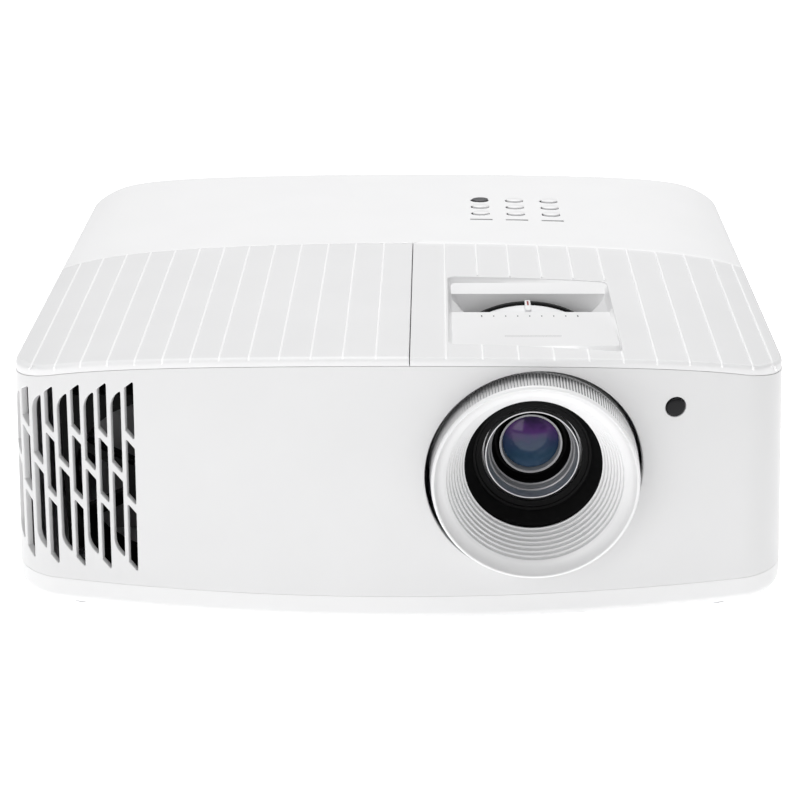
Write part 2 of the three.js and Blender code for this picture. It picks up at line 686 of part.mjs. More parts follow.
function acInlet() {
  const rear = CASE_REAR - 1;
  const half = [INLET_WIDTH / 2, INLET_HEIGHT / 2];
  const body = box(
    [INLET_X - half[0], rear - 26, INLET_Z - half[1]],
    [INLET_X + half[0], rear, INLET_Z + half[1]],
  );
  const cavity = box(
    [INLET_X - half[0] + 3, rear - 17, INLET_Z - half[1] + 3],
    [INLET_X + half[0] - 3, rear + 1, INLET_Z + half[1] - 3],
  );
  let inlet = body.subtract(cavity);
  [-7, 0, 7].forEach((offset) => {
    const z = INLET_Z + (offset === 0 ? 3 : -2);
    inlet = inlet.add(box(
      [INLET_X + offset - 1, rear - 18, z - 2],
      [INLET_X + offset + 1, rear - 3, z + 2],
    ));
  });
  return inlet;
}

// ---- boards -------------------------------------------------------------------------------

/** A flat board with raised components, each [x, y, length in X, length in Y, height]. */
function board(corner, size, bottom, components) {
  const [x0, y0] = corner;
  const top = bottom + BOARD;
  let body = box([x0, y0, bottom], [x0 + size[0], y0 + size[1], top]);
  for (const [x, y, length, width, height] of components) {
    const low = [x0 + x, y0 + y, top - 0.4];
    body = body.add(box(low, [low[0] + length, low[1] + width, top + height]));
  }
  return body;
}

function mainBoard() {
  const size = [PANEL_RIGHT - PANEL_LEFT + 6, 50];
  const rear = PANEL_Y - PANEL_THICKNESS - GAP;
  return board([PANEL_LEFT, rear - size[1]], size, BOARD_TOP - BOARD, [
    [42, 8, 28, 22, 9],
    [86, 12, 20, 16, 3],
    [122, 8, 14, 14, 3],
  ]);
}

function powerBoard() {
  return board([13.5 - CASE_HALF, LAMP_AXIS_Y + 34], [70, 80], FLOOR + 6, [
    [6, 6, 28, 30, 28],
    [44, 10, 18, 18, 30],
    [8, 44, 18, 24, 18],
  ]);
}

function lampBallast() {
  return board([91.5 - CASE_HALF, LAMP_AXIS_Y + 34], [50, 48], FLOOR + 6, [
    [4, 4, 24, 28, 24],
    [34, 6, 12, 34, 16],
  ]);
}

function keypadBoard() {
  const reach = [KEY_PITCH_X + 9, KEY_PITCH_Y + 7];
  const top = topHeight(KEYPAD_X + KEY_PITCH_X, KEYPAD_Y) - KEY_STEM - KEY_TRAVEL - 2.2;
  const corner = [KEYPAD_X - reach[0], KEYPAD_Y - BAR_OFFSET - 4];
  return board(corner, [2 * reach[0], BAR_OFFSET + 4 + reach[1]], top - BOARD, []);
}

function irBoard() {
  const y = frontAt(IR_X) + 14;
  return join(
    box([IR_X - 8, y, IR_Z - 14], [IR_X + 8, y + BOARD, IR_Z + 7]),
    box([IR_X - 3, y - 4, IR_Z - 3.5], [IR_X + 3, y + 0.5, IR_Z + 3.5]),
  );
}

// ---- light path ---------------------------------------------------------------------------

/** Profile of the reflector's inside, from the neck to the mouth, as [radius, depth]. */
function reflectorCurve(grow) {
  const neck = 5;
  const points = [];
  const steps = 4;
  for (let i = 0; i <= steps; i += 1) {
    const share = i / steps;
    const radius = neck + (REFLECTOR_RADIUS - neck) * Math.sqrt(share);
    points.push([radius + grow, REFLECTOR_DEPTH * share]);
  }
  return points;
}

/** Turn a body made along +Y into one along +X, with its end at LAMP_MOUTH. */
function alongLampAxis(geometry) {
  geometry.rotateZ(-Math.PI / 2);
  return solid(geometry.translate(LAMP_MOUTH - REFLECTOR_DEPTH, LAMP_AXIS_Y, LAMP_AXIS_Z));
}

function lampReflector() {
  const inside = reflectorCurve(0);
  const outside = reflectorCurve(2.4).reverse();
  const ring = [...inside, ...outside, inside[0]];
  const points = ring.map(([radius, depth]) => new THREE.Vector2(radius, depth));
  return alongLampAxis(new THREE.LatheGeometry(points, 20));
}

function lampBurner() {
  const profile = [[0, -9], [2.6, -9], [2.6, 8], [5.4, 13], [2.6, 18], [2, 28], [0, 28]];
  const points = profile.map(([radius, depth]) => new THREE.Vector2(radius, depth));
  return alongLampAxis(new THREE.LatheGeometry(points, 12));
}

/** Open-ended box that holds the reflector, with a handle on its top. */
function lampHousing() {
  const low = [HOUSING_LEFT, LAMP_AXIS_Y - HOUSING_HALF, FLOOR + GAP];
  const right = HOUSING_LEFT + HOUSING_LENGTH;
  const high = [right, LAMP_AXIS_Y + HOUSING_HALF, LAMP_AXIS_Z + HOUSING_HALF];
  const wall = 2.5;
  let housing = box(low, high).subtract(box(
    [low[0] + wall, low[1] + wall, low[2] + 16],
    [high[0] + 1, high[1] - wall, high[2] - wall],
  ));
  housing = housing.subtract(box(
    [low[0] - 1, LAMP_AXIS_Y - 20, LAMP_AXIS_Z - 16],
    [low[0] + wall + 1, LAMP_AXIS_Y + 20, LAMP_AXIS_Z + 16],
  ));
  const middle = (low[0] + high[0]) / 2;
  const handle = box(
    [middle - 15, LAMP_AXIS_Y - 3, high[2] - 1],
    [middle + 15, LAMP_AXIS_Y + 3, high[2] + 6],
  );
  return housing.add(handle.subtract(box(
    [middle - 9, LAMP_AXIS_Y - 4, high[2]],
    [middle + 9, LAMP_AXIS_Y + 4, high[2] + 4.2],
  )));
}

function colourWheel() {
  const z = LAMP_AXIS_Z - WHEEL_OFFSET;
  return rod('x', WHEEL_RADIUS, WHEEL_X, WHEEL_X + WHEEL_THICKNESS, [LAMP_AXIS_Y, z], 20);
}

function colourWheelMotor() {
  const z = LAMP_AXIS_Z - WHEEL_OFFSET;
  const front = WHEEL_X + WHEEL_THICKNESS + GAP;
  const post = box([front + 2, LAMP_AXIS_Y - 5, FLOOR + GAP], [front + 10, LAMP_AXIS_Y + 5, z]);
  return rod('x', 9, front, front + 12, [LAMP_AXIS_Y, z]).add(post);
}

function integratorRod() {
  const half = ROD_SIZE / 2;
  return box(
    [WHEEL_X + 3.4, LAMP_AXIS_Y - half, LAMP_AXIS_Z - half],
    [ENGINE_LEFT + 6, LAMP_AXIS_Y + half, LAMP_AXIS_Z + half],
  );
}

function engineCase() {
  const front = FLANGE_REAR + GAP;
  let engine = box([ENGINE_LEFT, front, ENGINE_BOTTOM], [ENGINE_RIGHT, ENGINE_REAR, ENGINE_TOP]);
  [[ENGINE_LEFT + 8, front + 8], [ENGINE_RIGHT - 8, front + 8],
    [ENGINE_LEFT + 8, ENGINE_REAR - 8], [ENGINE_RIGHT - 8, ENGINE_REAR - 8]].forEach((place) => {
    engine = engine.add(rod('z', 5, FLOOR + GAP, ENGINE_BOTTOM + 1, place, 12));
  });
  const half = ROD_SIZE / 2 + GAP;
  engine = engine.subtract(rod('y', 14, front - 1, ENGINE_REAR + 1, [LENS_X, LENS_Z], 20));
  return engine.subtract(box(
    [ENGINE_LEFT - 1, LAMP_AXIS_Y - half, LAMP_AXIS_Z - half],
    [LENS_X, LAMP_AXIS_Y + half, LAMP_AXIS_Z + half],
  ));
}

function dmdBoard() {
  const y = ENGINE_REAR + GAP;
  return box([LENS_X - 34, y, LENS_Z - 30], [LENS_X + 34, y + BOARD, LENS_Z + 30]);
}

function dmdHeatSink() {
  const front = ENGINE_REAR + 2 * GAP + BOARD;
  const half = 24;
  let sink = box([LENS_X - half, front, LENS_Z - half], [LENS_X + half, front + 4, LENS_Z + half]);
  const fins = 7;
  for (let i = 0; i < fins; i += 1) {
    const x = LENS_X - half + (i * (2 * half - 2)) / (fins - 1);
    sink = sink.add(box([x, front + 3, LENS_Z - half], [x + 2, front + 22, LENS_Z + half]));
  }
  return sink;
}

// ---- lens ---------------------------------------------------------------------------------

const CONE_END = LENS_FRONT + CONE_DEPTH; // where the cone of the focus ring ends
const HOOD_FRONT = CONE_END + 3.4;
const BARREL_FRONT = HOOD_FRONT + 2;
const CELL_FRONT = HOOD_FRONT + 5.3;

function focusRing() {
  const back = LENS_FRONT + FOCUS_DEPTH;
  const inner = BARREL_RADIUS + RUNNING_GAP;
  return turned([
    [FOCUS_RADIUS - FOCUS_RIM, LENS_FRONT],
    [FOCUS_RADIUS - 1, LENS_FRONT],
    [FOCUS_RADIUS, LENS_FRONT + 1],
    [FOCUS_RADIUS, back],
    [inner, back],
    [inner, HOOD_FRONT - 0.4],
    [CONE_END_RADIUS + 2, HOOD_FRONT - 0.4],
    [CONE_END_RADIUS, CONE_END],
  ], LENS_X, LENS_Z, 36);
}

function lensHood() {
  const rear = HOOD_FRONT + 8.1;
  return turned([
    [CONE_END_RADIUS, HOOD_FRONT],
    [BARREL_RADIUS - 0.5, HOOD_FRONT],
    [BARREL_RADIUS - 0.5, BARREL_FRONT - GAP],
    [CONE_END_RADIUS + 1.3, BARREL_FRONT - GAP],
    [CONE_END_RADIUS + 1.3, rear],
    [SILVER_RADIUS + 1, rear],
    [SILVER_RADIUS + 1, rear - 1],
  ], LENS_X, LENS_Z);
}

function lensBarrel() {
  const step = HOOD_FRONT + 9.6;
  const rearStep = FLANGE_REAR - 20;
  return turned([
    [BARREL_RADIUS, BARREL_FRONT],
    [BARREL_RADIUS, FLANGE_REAR - 4],
    [BARREL_RADIUS + 12, FLANGE_REAR - 4],
    [BARREL_RADIUS + 12, FLANGE_REAR],
    [REAR_BORE, FLANGE_REAR],
    [REAR_BORE, rearStep],
    [BARREL_BORE, rearStep],
    [BARREL_BORE, step],
    [CONE_END_RADIUS + 1.8, step],
    [CONE_END_RADIUS + 1.8, BARREL_FRONT],
  ], LENS_X, LENS_Z);
}

function frontLensCell() {
  const shoulder = CELL_FRONT + 5.8;
  return turned([
    [SILVER_RADIUS - 1, CELL_FRONT],
    [SILVER_RADIUS, CELL_FRONT],
    [SILVER_RADIUS, shoulder],
    [CELL_RADIUS, shoulder],
    [CELL_RADIUS, CELL_FRONT + 21],
    [FRONT_LENS_RADIUS + 0.4, CELL_FRONT + 21],
    [FRONT_LENS_RADIUS + 0.4, CELL_FRONT + 13],
    [FRONT_LENS_RADIUS + 2.4, CELL_FRONT + 10.5],
    [FRONT_LENS_RADIUS + 3, CELL_FRONT + 8.6],
  ], LENS_X, LENS_Z);
}

/** A lens element with two curved faces; bulges are the rises of its faces at the axis. */
function lensElement(radius, front, thickness, frontBulge, rearBulge) {
  const points = [];
  const steps = 3;
  for (let i = 0; i <= steps; i += 1) {
    const share = i / steps;
    points.push([radius * share, front - frontBulge * (1 - share ** 2)]);
  }
  for (let i = steps; i >= 0; i -= 1) {
    const share = i / steps;
    points.push([radius * share, front + thickness + rearBulge * (1 - share ** 2)]);
  }
  return turned(points, LENS_X, LENS_Z, 20);
}

function zoomRing() {
  const step = ZOOM_FRONT + 6.5;
  const inner = BARREL_RADIUS + 0.4;
  const ring = turned([
    [inner, ZOOM_FRONT],
    [ZOOM_RADIUS - 2, ZOOM_FRONT],
    [ZOOM_RADIUS - 2, step],
    [ZOOM_RADIUS, step],
    [ZOOM_RADIUS, ZOOM_REAR],
    [inner, ZOOM_REAR],
  ], LENS_X, LENS_Z, 36);
  const pointer = box(
    [LENS_X - 1.2, ZOOM_FRONT + 3, LENS_Z + ZOOM_RADIUS - 3],
    [LENS_X + 1.2, ZOOM_REAR, LENS_Z + ZOOM_RADIUS + 1.6],
  );
  return ring.add(pointer);
}

function zoomLens() {
  const front = ZOOM_FRONT - 15;
  const element = lensElement(CELL_RADIUS - 3, front + 2, 5, 2, 2);
  const holder = turned([
    [CELL_RADIUS - 4, front],
    [CELL_RADIUS, front],
    [CELL_RADIUS, front + 12],
    [CELL_RADIUS - 4, front + 12],
  ], LENS_X, LENS_Z, 20);
  return element.add(holder);
}

// ---- fans, speaker, feet ------------------------------------------------------------------

const FAN_HUB = 14;
const FAN_BLADES = 7;

/** Fan frame around the Z axis, centred on the origin. */
function fanFrame(size) {
  const half = size / 2;
  const depth = FAN_DEPTH / 2;
  const bore = half - 2.5;
  let frame = box([-half, -half, -depth], [half, half, depth]);
  frame = frame.subtract(rod('z', bore, -depth - 1, depth + 1, [0, 0], 24));
  frame = frame.add(rod('z', FAN_HUB + 1, depth - 2, depth, [0, 0], 16));
  const arms = [0, 1, 2].map((i) => {
    const geometry = new THREE.BoxGeometry(half, 4, 2).translate(half / 2, 0, depth - 1);
    return solid(geometry.rotateZ((i * 2 * Math.PI) / 3 + Math.PI / 6));
  });
  return join(frame, ...arms);
}

/** Fan rotor around the Z axis: a hub with tilted blades. */
function fanRotor(size) {
  const reach = size / 2 - 4.5;
  const depth = FAN_DEPTH / 2;
  let rotor = rod('z', FAN_HUB, -depth + 1, depth - 2.6, [0, 0], 20);
  for (let i = 0; i < FAN_BLADES; i += 1) {
    const blade = new THREE.BoxGeometry(reach - FAN_HUB + 3, 1.6, 13);
    blade.rotateX(0.7).translate((reach + FAN_HUB - 3) / 2, 0, -1.2);
    rotor = rotor.add(solid(blade.rotateZ((i * 2 * Math.PI) / FAN_BLADES)));
  }
  return rotor;
}

/** Place a fan piece made around Z so that its axis lies along X or Y. */
function placeFan(body, axis, x, y, z) {
  const geometry = geometryOf(body);
  if (axis === 'y') geometry.rotateX(Math.PI / 2);
  if (axis === 'x') geometry.rotateY(-Math.PI / 2);
  return geometry.translate(x, y, z);
}

function speaker() {
  const right = CASE_HALF - 15.5;
  const [y, z, half] = [46, 57, 20];
  const frame = box([right - 14, y - half, z - 27], [right, y + half, z + 27]);
  return frame.add(rod('x', half - 3, right - 1, right + 2, [y, z]));
}

function footStem(x, y) {
  return rod('z', STEM_RADIUS, FOOT_HEIGHT + GAP, FOOT_HEIGHT + STEM_LENGTH, [x, y]);
}

function footPad(x, y) {
  const profile = [
    [0, 0], [FOOT_RADIUS - 1.2, 0], [FOOT_RADIUS, 1.2], [FOOT_RADIUS, FOOT_HEIGHT], [0, FOOT_HEIGHT],
  ];
  const points = profile.map(([radius, z]) => new THREE.Vector2(radius, z));
  const geometry = new THREE.LatheGeometry(points, 14).rotateX(Math.PI / 2);
  return solid(geometry.translate(x, y, 0));
}

// ---- assembly -----------------------------------------------------------------------------

const projector = new THREE.Group();

function place(name, finish, shape) {
  const geometry = shape instanceof THREE.BufferGeometry ? shape : geometryOf(shape);
  const mesh = new THREE.Mesh(geometry, new THREE.MeshStandardMaterial(finish));
  mesh.name = name;
  projector.add(mesh);
}

place('base_case', WHITE, baseCase());
place('middle_case', WHITE, middleCase());
place('top_cover', MATTE_WHITE, topCover());
place('lamp_cover', MATTE_WHITE, lampCover());
place('ir_window', BLACK, irCylinder(IR_RADIUS, -0.2, WALL + 2));
place('ir_board', GREEN_BOARD, irBoard());

for (const [name, x, y] of keyPlaces()) {
  const top = topHeight(x, y);
  const finish = name === 'key_power' ? DARK_GREY : WHITE;
  place(name, finish, keyColumn(x, y, 0, top - KEY_STEM, top + KEY_RISE));
}
for (const [name, x, y] of barPlaces()) {
  const top = topHeight(x, y);
  const half = [BAR_WIDTH / 2, BAR_LENGTH / 2];
  place(name, DARK_GREY, box([x - half[0], y - half[1], top - 5], [x + half[0], y + half[1], top]));
}
place('keypad_board', GREEN_BOARD, keypadBoard());

place('io_panel', DARK_GREY, ioPanel());
for (const [name, ...sizes] of PORTS) place(name, STEEL, socket(...sizes));
for (const [name, ...sizes] of JACKS) place(name, BLACK, jack(...sizes));
place('ac_inlet', BLACK, acInlet());

place('main_board', GREEN_BOARD, mainBoard());
place('power_board', GREEN_BOARD, powerBoard());
place('lamp_ballast', GREEN_BOARD, lampBallast());

place('lamp_housing', DARK_GREY, lampHousing());
place('lamp_reflector', ALUMINIUM, lampReflector());
place('lamp_burner', GLASS, lampBurner());
place('colour_wheel', GLASS, colourWheel());
place('colour_wheel_motor', STEEL, colourWheelMotor());
place('integrator_rod', GLASS, integratorRod());
place('engine_case', ALUMINIUM, engineCase());
place('dmd_board', GREEN_BOARD, dmdBoard());
place('dmd_heat_sink', ALUMINIUM, dmdHeatSink());

place('focus_ring', WHITE, focusRing());
place('lens_hood', BLACK, lensHood());
place('lens_barrel', BLACK, lensBarrel());
place('front_lens_cell', ALUMINIUM, frontLensCell());
place('front_lens', GLASS, lensElement(FRONT_LENS_RADIUS, CELL_FRONT + 15.5, 3, 2, 0.5));
place('zoom_lens', BLACK, zoomLens());
place('rear_lens', GLASS, lensElement(REAR_BORE - 0.4, FLANGE_REAR - 13, 6, 1.5, 1.5));
place('zoom_ring', BLACK, zoomRing());

const exhaustZ = FLOOR + GAP + EXHAUST_SIZE / 2;
const intakeZ = FLOOR + GAP + INTAKE_SIZE / 2;
place('exhaust_fan_frame', BLACK,
  placeFan(fanFrame(EXHAUST_SIZE), 'y', EXHAUST_X, EXHAUST_Y, exhaustZ));
place('exhaust_fan_rotor', BLACK,
  placeFan(fanRotor(EXHAUST_SIZE), 'y', EXHAUST_X, EXHAUST_Y, exhaustZ));
place('intake_fan_frame', BLACK,
  placeFan(fanFrame(INTAKE_SIZE), 'x', INTAKE_FAN_X, INTAKE_Y, intakeZ));
place('intake_fan_rotor', BLACK,
  placeFan(fanRotor(INTAKE_SIZE), 'x', INTAKE_FAN_X, INTAKE_Y, intakeZ));
place('speaker', BLACK, speaker());

for (const [name, [x, y]] of Object.entries(footPlaces())) {
  place(`${name}_foot_stem`, STEEL, footStem(x, y));
  place(`${name}_foot_pad`, RUBBER, footPad(x, y));
}

export default projector;
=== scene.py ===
"""Home projector: smooth shells, lens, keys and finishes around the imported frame.

All shapes are worked out in millimetres as whole arrays and put into meshes in metres.
"""

import json
import logging
import math
import operator
from dataclasses import dataclass
from enum import Enum
from functools import reduce
from typing import Callable, ClassVar, Sequence

import bmesh
import bpy
import numpy as np
from mathutils import Matrix, Vector
from mathutils.geometry import delaunay_2d_cdt


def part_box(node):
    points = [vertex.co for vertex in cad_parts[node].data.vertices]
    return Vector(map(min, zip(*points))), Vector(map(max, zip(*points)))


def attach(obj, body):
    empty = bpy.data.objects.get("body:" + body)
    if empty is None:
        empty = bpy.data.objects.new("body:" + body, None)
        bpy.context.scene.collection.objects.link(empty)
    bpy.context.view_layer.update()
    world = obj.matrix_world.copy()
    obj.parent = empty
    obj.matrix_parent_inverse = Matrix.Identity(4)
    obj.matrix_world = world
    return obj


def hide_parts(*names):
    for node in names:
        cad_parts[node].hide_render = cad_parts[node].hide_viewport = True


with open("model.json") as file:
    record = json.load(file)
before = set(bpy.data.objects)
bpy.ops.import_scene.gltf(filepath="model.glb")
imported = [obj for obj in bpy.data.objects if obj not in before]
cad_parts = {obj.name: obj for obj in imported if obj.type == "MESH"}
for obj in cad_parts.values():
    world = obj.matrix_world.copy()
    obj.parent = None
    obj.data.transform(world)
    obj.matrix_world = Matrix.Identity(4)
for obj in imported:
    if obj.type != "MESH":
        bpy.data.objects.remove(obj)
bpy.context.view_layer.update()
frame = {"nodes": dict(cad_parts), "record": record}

LOG = logging.getLogger("projector")
MM = 0.001
WELD = 1e-6
FULL_TURN = 2 * math.pi
# Points that are measured against a line at one time, to keep the arrays small.
BATCH = 1500
# Shares of a fillet's radius at which a rounded edge has its rows of points.
FILLET_ROWS = (0.0, 0.12, 0.5, 1.0, 1.7)

Array = np.ndarray
Field = Callable[[Array], Array]
Surface = Callable[[Array, Array], Array]
Tree = bpy.types.NodeTree
Node = bpy.types.Node
Socket = bpy.types.NodeSocket


# ---------------------------------------------------------------- meshes


def node_box(name: str) -> tuple[Array, Array]:
    """Lowest and highest corner of a CAD node, in millimetres."""
    low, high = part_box(name)
    return np.array(low) / MM, np.array(high) / MM


@dataclass
class Shape:
    """Points in millimetres with faces as lists of indices and one material index per face."""

    points: Array
    faces: list[list[int]]
    paint: Array

    def __add__(self, other: "Shape") -> "Shape":
        """Both shapes as one, with the other's indices moved up.

        Args:
            other: the shape to add.

        Returns:
            The joined shape, with faces and materials in order.
        """
        shift = len(self.points)
        moved = [[i + shift for i in face] for face in other.faces]
        return Shape(
            np.vstack([self.points, other.points]),
            self.faces + moved,
            np.concatenate([self.paint, other.paint]),
        )

    def middles(self) -> Array:
        """Mean x and y of every face's corners."""
        return np.array([self.points[face, :2].mean(axis=0) for face in self.faces])

    def painted(self, index: int) -> "Shape":
        """The same shape with every face in one material."""
        return Shape(self.points, self.faces, np.full(len(self.faces), index))


def joined(shapes: Sequence[Shape]) -> Shape:
    """All shapes as one, in their order."""
    return reduce(operator.add, shapes)


def ring_of(count: int) -> Array:
    """Points on the unit circle, at equal angles.

    Args:
        count: number of points.

    Returns:
        Array (count, 2).
    """
    angle = np.linspace(0, FULL_TURN, count, endpoint=False)
    return np.stack([np.cos(angle), np.sin(angle)], axis=1)


def grid_shape(points: Array, wrap_u: bool = False, wrap_v: bool = False) -> Shape:
    """Quads over a grid of points.

    Args:
        points: array of shape (rows, columns, 3).
        wrap_u: join the last row to the first.
        wrap_v: join the last column to the first.

    Returns:
        The surface as a shape.
    """
    rows, columns = points.shape[:2]
    i, j = np.meshgrid(
        np.arange(rows - (not wrap_u)), np.arange(columns - (not wrap_v)), indexing="ij"
    )
    i, j = i.ravel(), j.ravel()
    after_i, after_j = (i + 1) % rows, (j + 1) % columns
    quads = np.stack(
        [i * columns + j, after_i * columns + j, after_i * columns + after_j, i * columns + after_j],
        axis=1,
    )
    return Shape(points.reshape(-1, 3), quads.tolist(), np.zeros(len(quads), int))


def block(low: Sequence[float], high: Sequence[float], edge: float = 0.0) -> Shape:
    """A box with rounded edges: each corner point is pushed inwards to lie on a ball of radius edge.

    Args:
        low: lowest corner.
        high: highest corner.
        edge: radius of the rounded edges.

    Returns:
        The closed box.
    """
    low, high = np.array(low, float), np.array(high, float)
    edge = min(edge, 0.49 * float(np.min(high - low)))
    steps = np.array([0.0, 0.08, 0.3, 1.0]) if edge else np.array([0.0])
    lines = [
        np.unique(np.concatenate([low[k] + steps * edge, high[k] - steps * edge])) for k in range(3)
    ]
    sides = []
    for k in range(3):
        a, b = (k + 1) % 3, (k + 2) % 3
        u, v = np.meshgrid(lines[a], lines[b], indexing="ij")
        for side in (low[k], high[k]):
            points = np.zeros(u.shape + (3,))
            points[..., a], points[..., b], points[..., k] = u, v, side
            core = np.clip(points, low + edge, high - edge)
            away = points - core
            length = np.linalg.norm(away, axis=-1, keepdims=True)
            rounded = np.where(length > 0, core + away / np.maximum(length, 1e-9) * edge, points)
            sides.append(grid_shape(rounded if edge else points))
    return joined(sides)


def turned(
    profile: Array,
    centre: Sequence[float],
    sides: int,
    closed: bool = True,
    axis: str = "y",
    ripple: Field | None = None,
) -> Shape:
    """A profile of (radius, place along the axis) turned about an axis.

    The point at angle t is centre + radius * (cos t, sin t) across the axis.

    Args:
        profile: array (n, 2) of radius and place.
        centre: the two coordinates across the axis.
        sides: number of steps round.
        closed: join the last profile point to the first.
        axis: "y" or "z".
        ripple: change of radius for (angle, row) grids, for knurls.

    Returns:
        The turned surface.
    """
    angle = np.linspace(0, FULL_TURN, sides, endpoint=False)[:, None]
    radius = np.broadcast_to(profile[:, 0], (sides, len(profile)))
    if ripple is not None:
        radius = radius + ripple(angle)
    place = np.broadcast_to(profile[:, 1], radius.shape)
    across = centre[0] + radius * np.cos(angle)
    other = centre[1] + radius * np.sin(angle)
    order = (across, place, other) if axis == "y" else (across, other, place)
    return grid_shape(np.stack(order, axis=-1), wrap_u=True, wrap_v=closed)


def soften(corners: Sequence[Sequence[float]], radius: float, closed: bool = True) -> Array:
    """A profile with its corners rounded by short quadratic curves.

    Args:
        corners: the sharp profile.
        radius: how far from a corner its curve starts.
        closed: the last point joins the first.

    Returns:
        The rounded profile.
    """
    points = np.array(corners, float)
    share = np.array([0.0, 0.33, 0.67, 1.0])[:, None]
    result = []
    count = len(points)
    for i, corner in enumerate(points):
        if not closed and i in (0, count - 1):
            result.append(corner[None])
            continue
        before, after = points[i - 1] - corner, points[(i + 1) % count] - corner
        reach = [min(radius, 0.45 * float(np.linalg.norm(v))) for v in (before, after)]
        start = corner + before / np.linalg.norm(before) * reach[0]
        end = corner + after / np.linalg.norm(after) * reach[1]
        result.append((1 - share) ** 2 * start + 2 * share * (1 - share) * corner + share**2 * end)
    return np.vstack(result)


def rounded_polygon(
    corners: Array, radius: float | Sequence[float], grow: float, spacing: float = 1.5
) -> Array:
    """A convex polygon, anticlockwise, with corner arcs, moved outwards by grow.

    Each arc keeps its centre, at distance radius inside both edges, and has radius + grow.

    Args:
        corners: array (n, 2).
        radius: corner radius before growing, one or one per corner.
        grow: how far the outline moves outwards.
        spacing: greatest step along the straight edges.

    Returns:
        Closed line of points, without the first point repeated.
    """
    corners = np.asarray(corners, float)
    after = np.roll(corners, -1, axis=0) - corners
    direction = after / np.linalg.norm(after, axis=1, keepdims=True)
    normal = np.stack([direction[:, 1], -direction[:, 0]], axis=1)
    back_normal = np.roll(normal, 1, axis=0)
    middle = (normal + back_normal) / (1 + np.sum(normal * back_normal, axis=1, keepdims=True))
    radii = np.broadcast_to(np.asarray(radius, float), len(corners))[:, None]
    centres = corners - middle * radii
    start = np.arctan2(back_normal[:, 1], back_normal[:, 0])
    turn = (np.arctan2(normal[:, 1], normal[:, 0]) - start) % FULL_TURN
    share = np.linspace(0, 1, 7)
    angle = start[:, None] + turn[:, None] * share
    arcs = centres[:, None] + (radii[:, :, None] + grow) * np.stack([np.cos(angle), np.sin(angle)], axis=-1)
    line = []
    for i, arc in enumerate(arcs):
        line.append(arc)
        span = arcs[(i + 1) % len(arcs)][0] - arc[-1]
        count = int(np.linalg.norm(span) / spacing)
        if count > 0:
            steps = np.arange(1, count + 1)[:, None] / (count + 1)
            line.append(arc[-1] + span * steps)
    return np.vstack(line)


@dataclass
class FlatLine:
    """A line on a flat domain with one depth value for its points."""

    points: Array
    closed: bool = True
    depth: float = 0.0


def spread(low: Sequence[float], high: Sequence[float], step: float) -> Array:
    """Points of a triangular grid over a rectangle.

    Args:
        low: lowest corner of the rectangle.
        high: highest corner.
        step: distance between neighbours in a row.

    Returns:
        Array (n, 2).
    """
    rows = np.arange(low[1], high[1], step * 0.87)
    columns = np.arange(low[0], high[0], step)
    x, y = np.meshgrid(columns, rows)
    x = x + (np.arange(len(rows)) % 2)[:, None] * step / 2
    return np.stack([x.ravel(), y.ravel()], axis=1)


def clear_of(points: Array, lines: Sequence[FlatLine], gap: float) -> Array:
    """The points whose cell of side gap, and its neighbours, hold no point of any line.

    Args:
        points: loose points.
        lines: lines that keep their room.
        gap: side of a cell.

    Returns:
        The points that are left.
    """

    def cell(p: Array) -> Array:
        """One number for the cell that each point lies in."""
        return (np.floor(p / gap).astype(np.int64) + 8192) @ np.array([32768, 1])

    offsets = np.array([(a, b) for a in (-1, 0, 1) for b in (-1, 0, 1)]) * gap
    along = np.vstack([line.points for line in lines])
    taken = np.unique(cell((along[:, None] + offsets).reshape(-1, 2)))
    return points[~np.isin(cell(points), taken)]


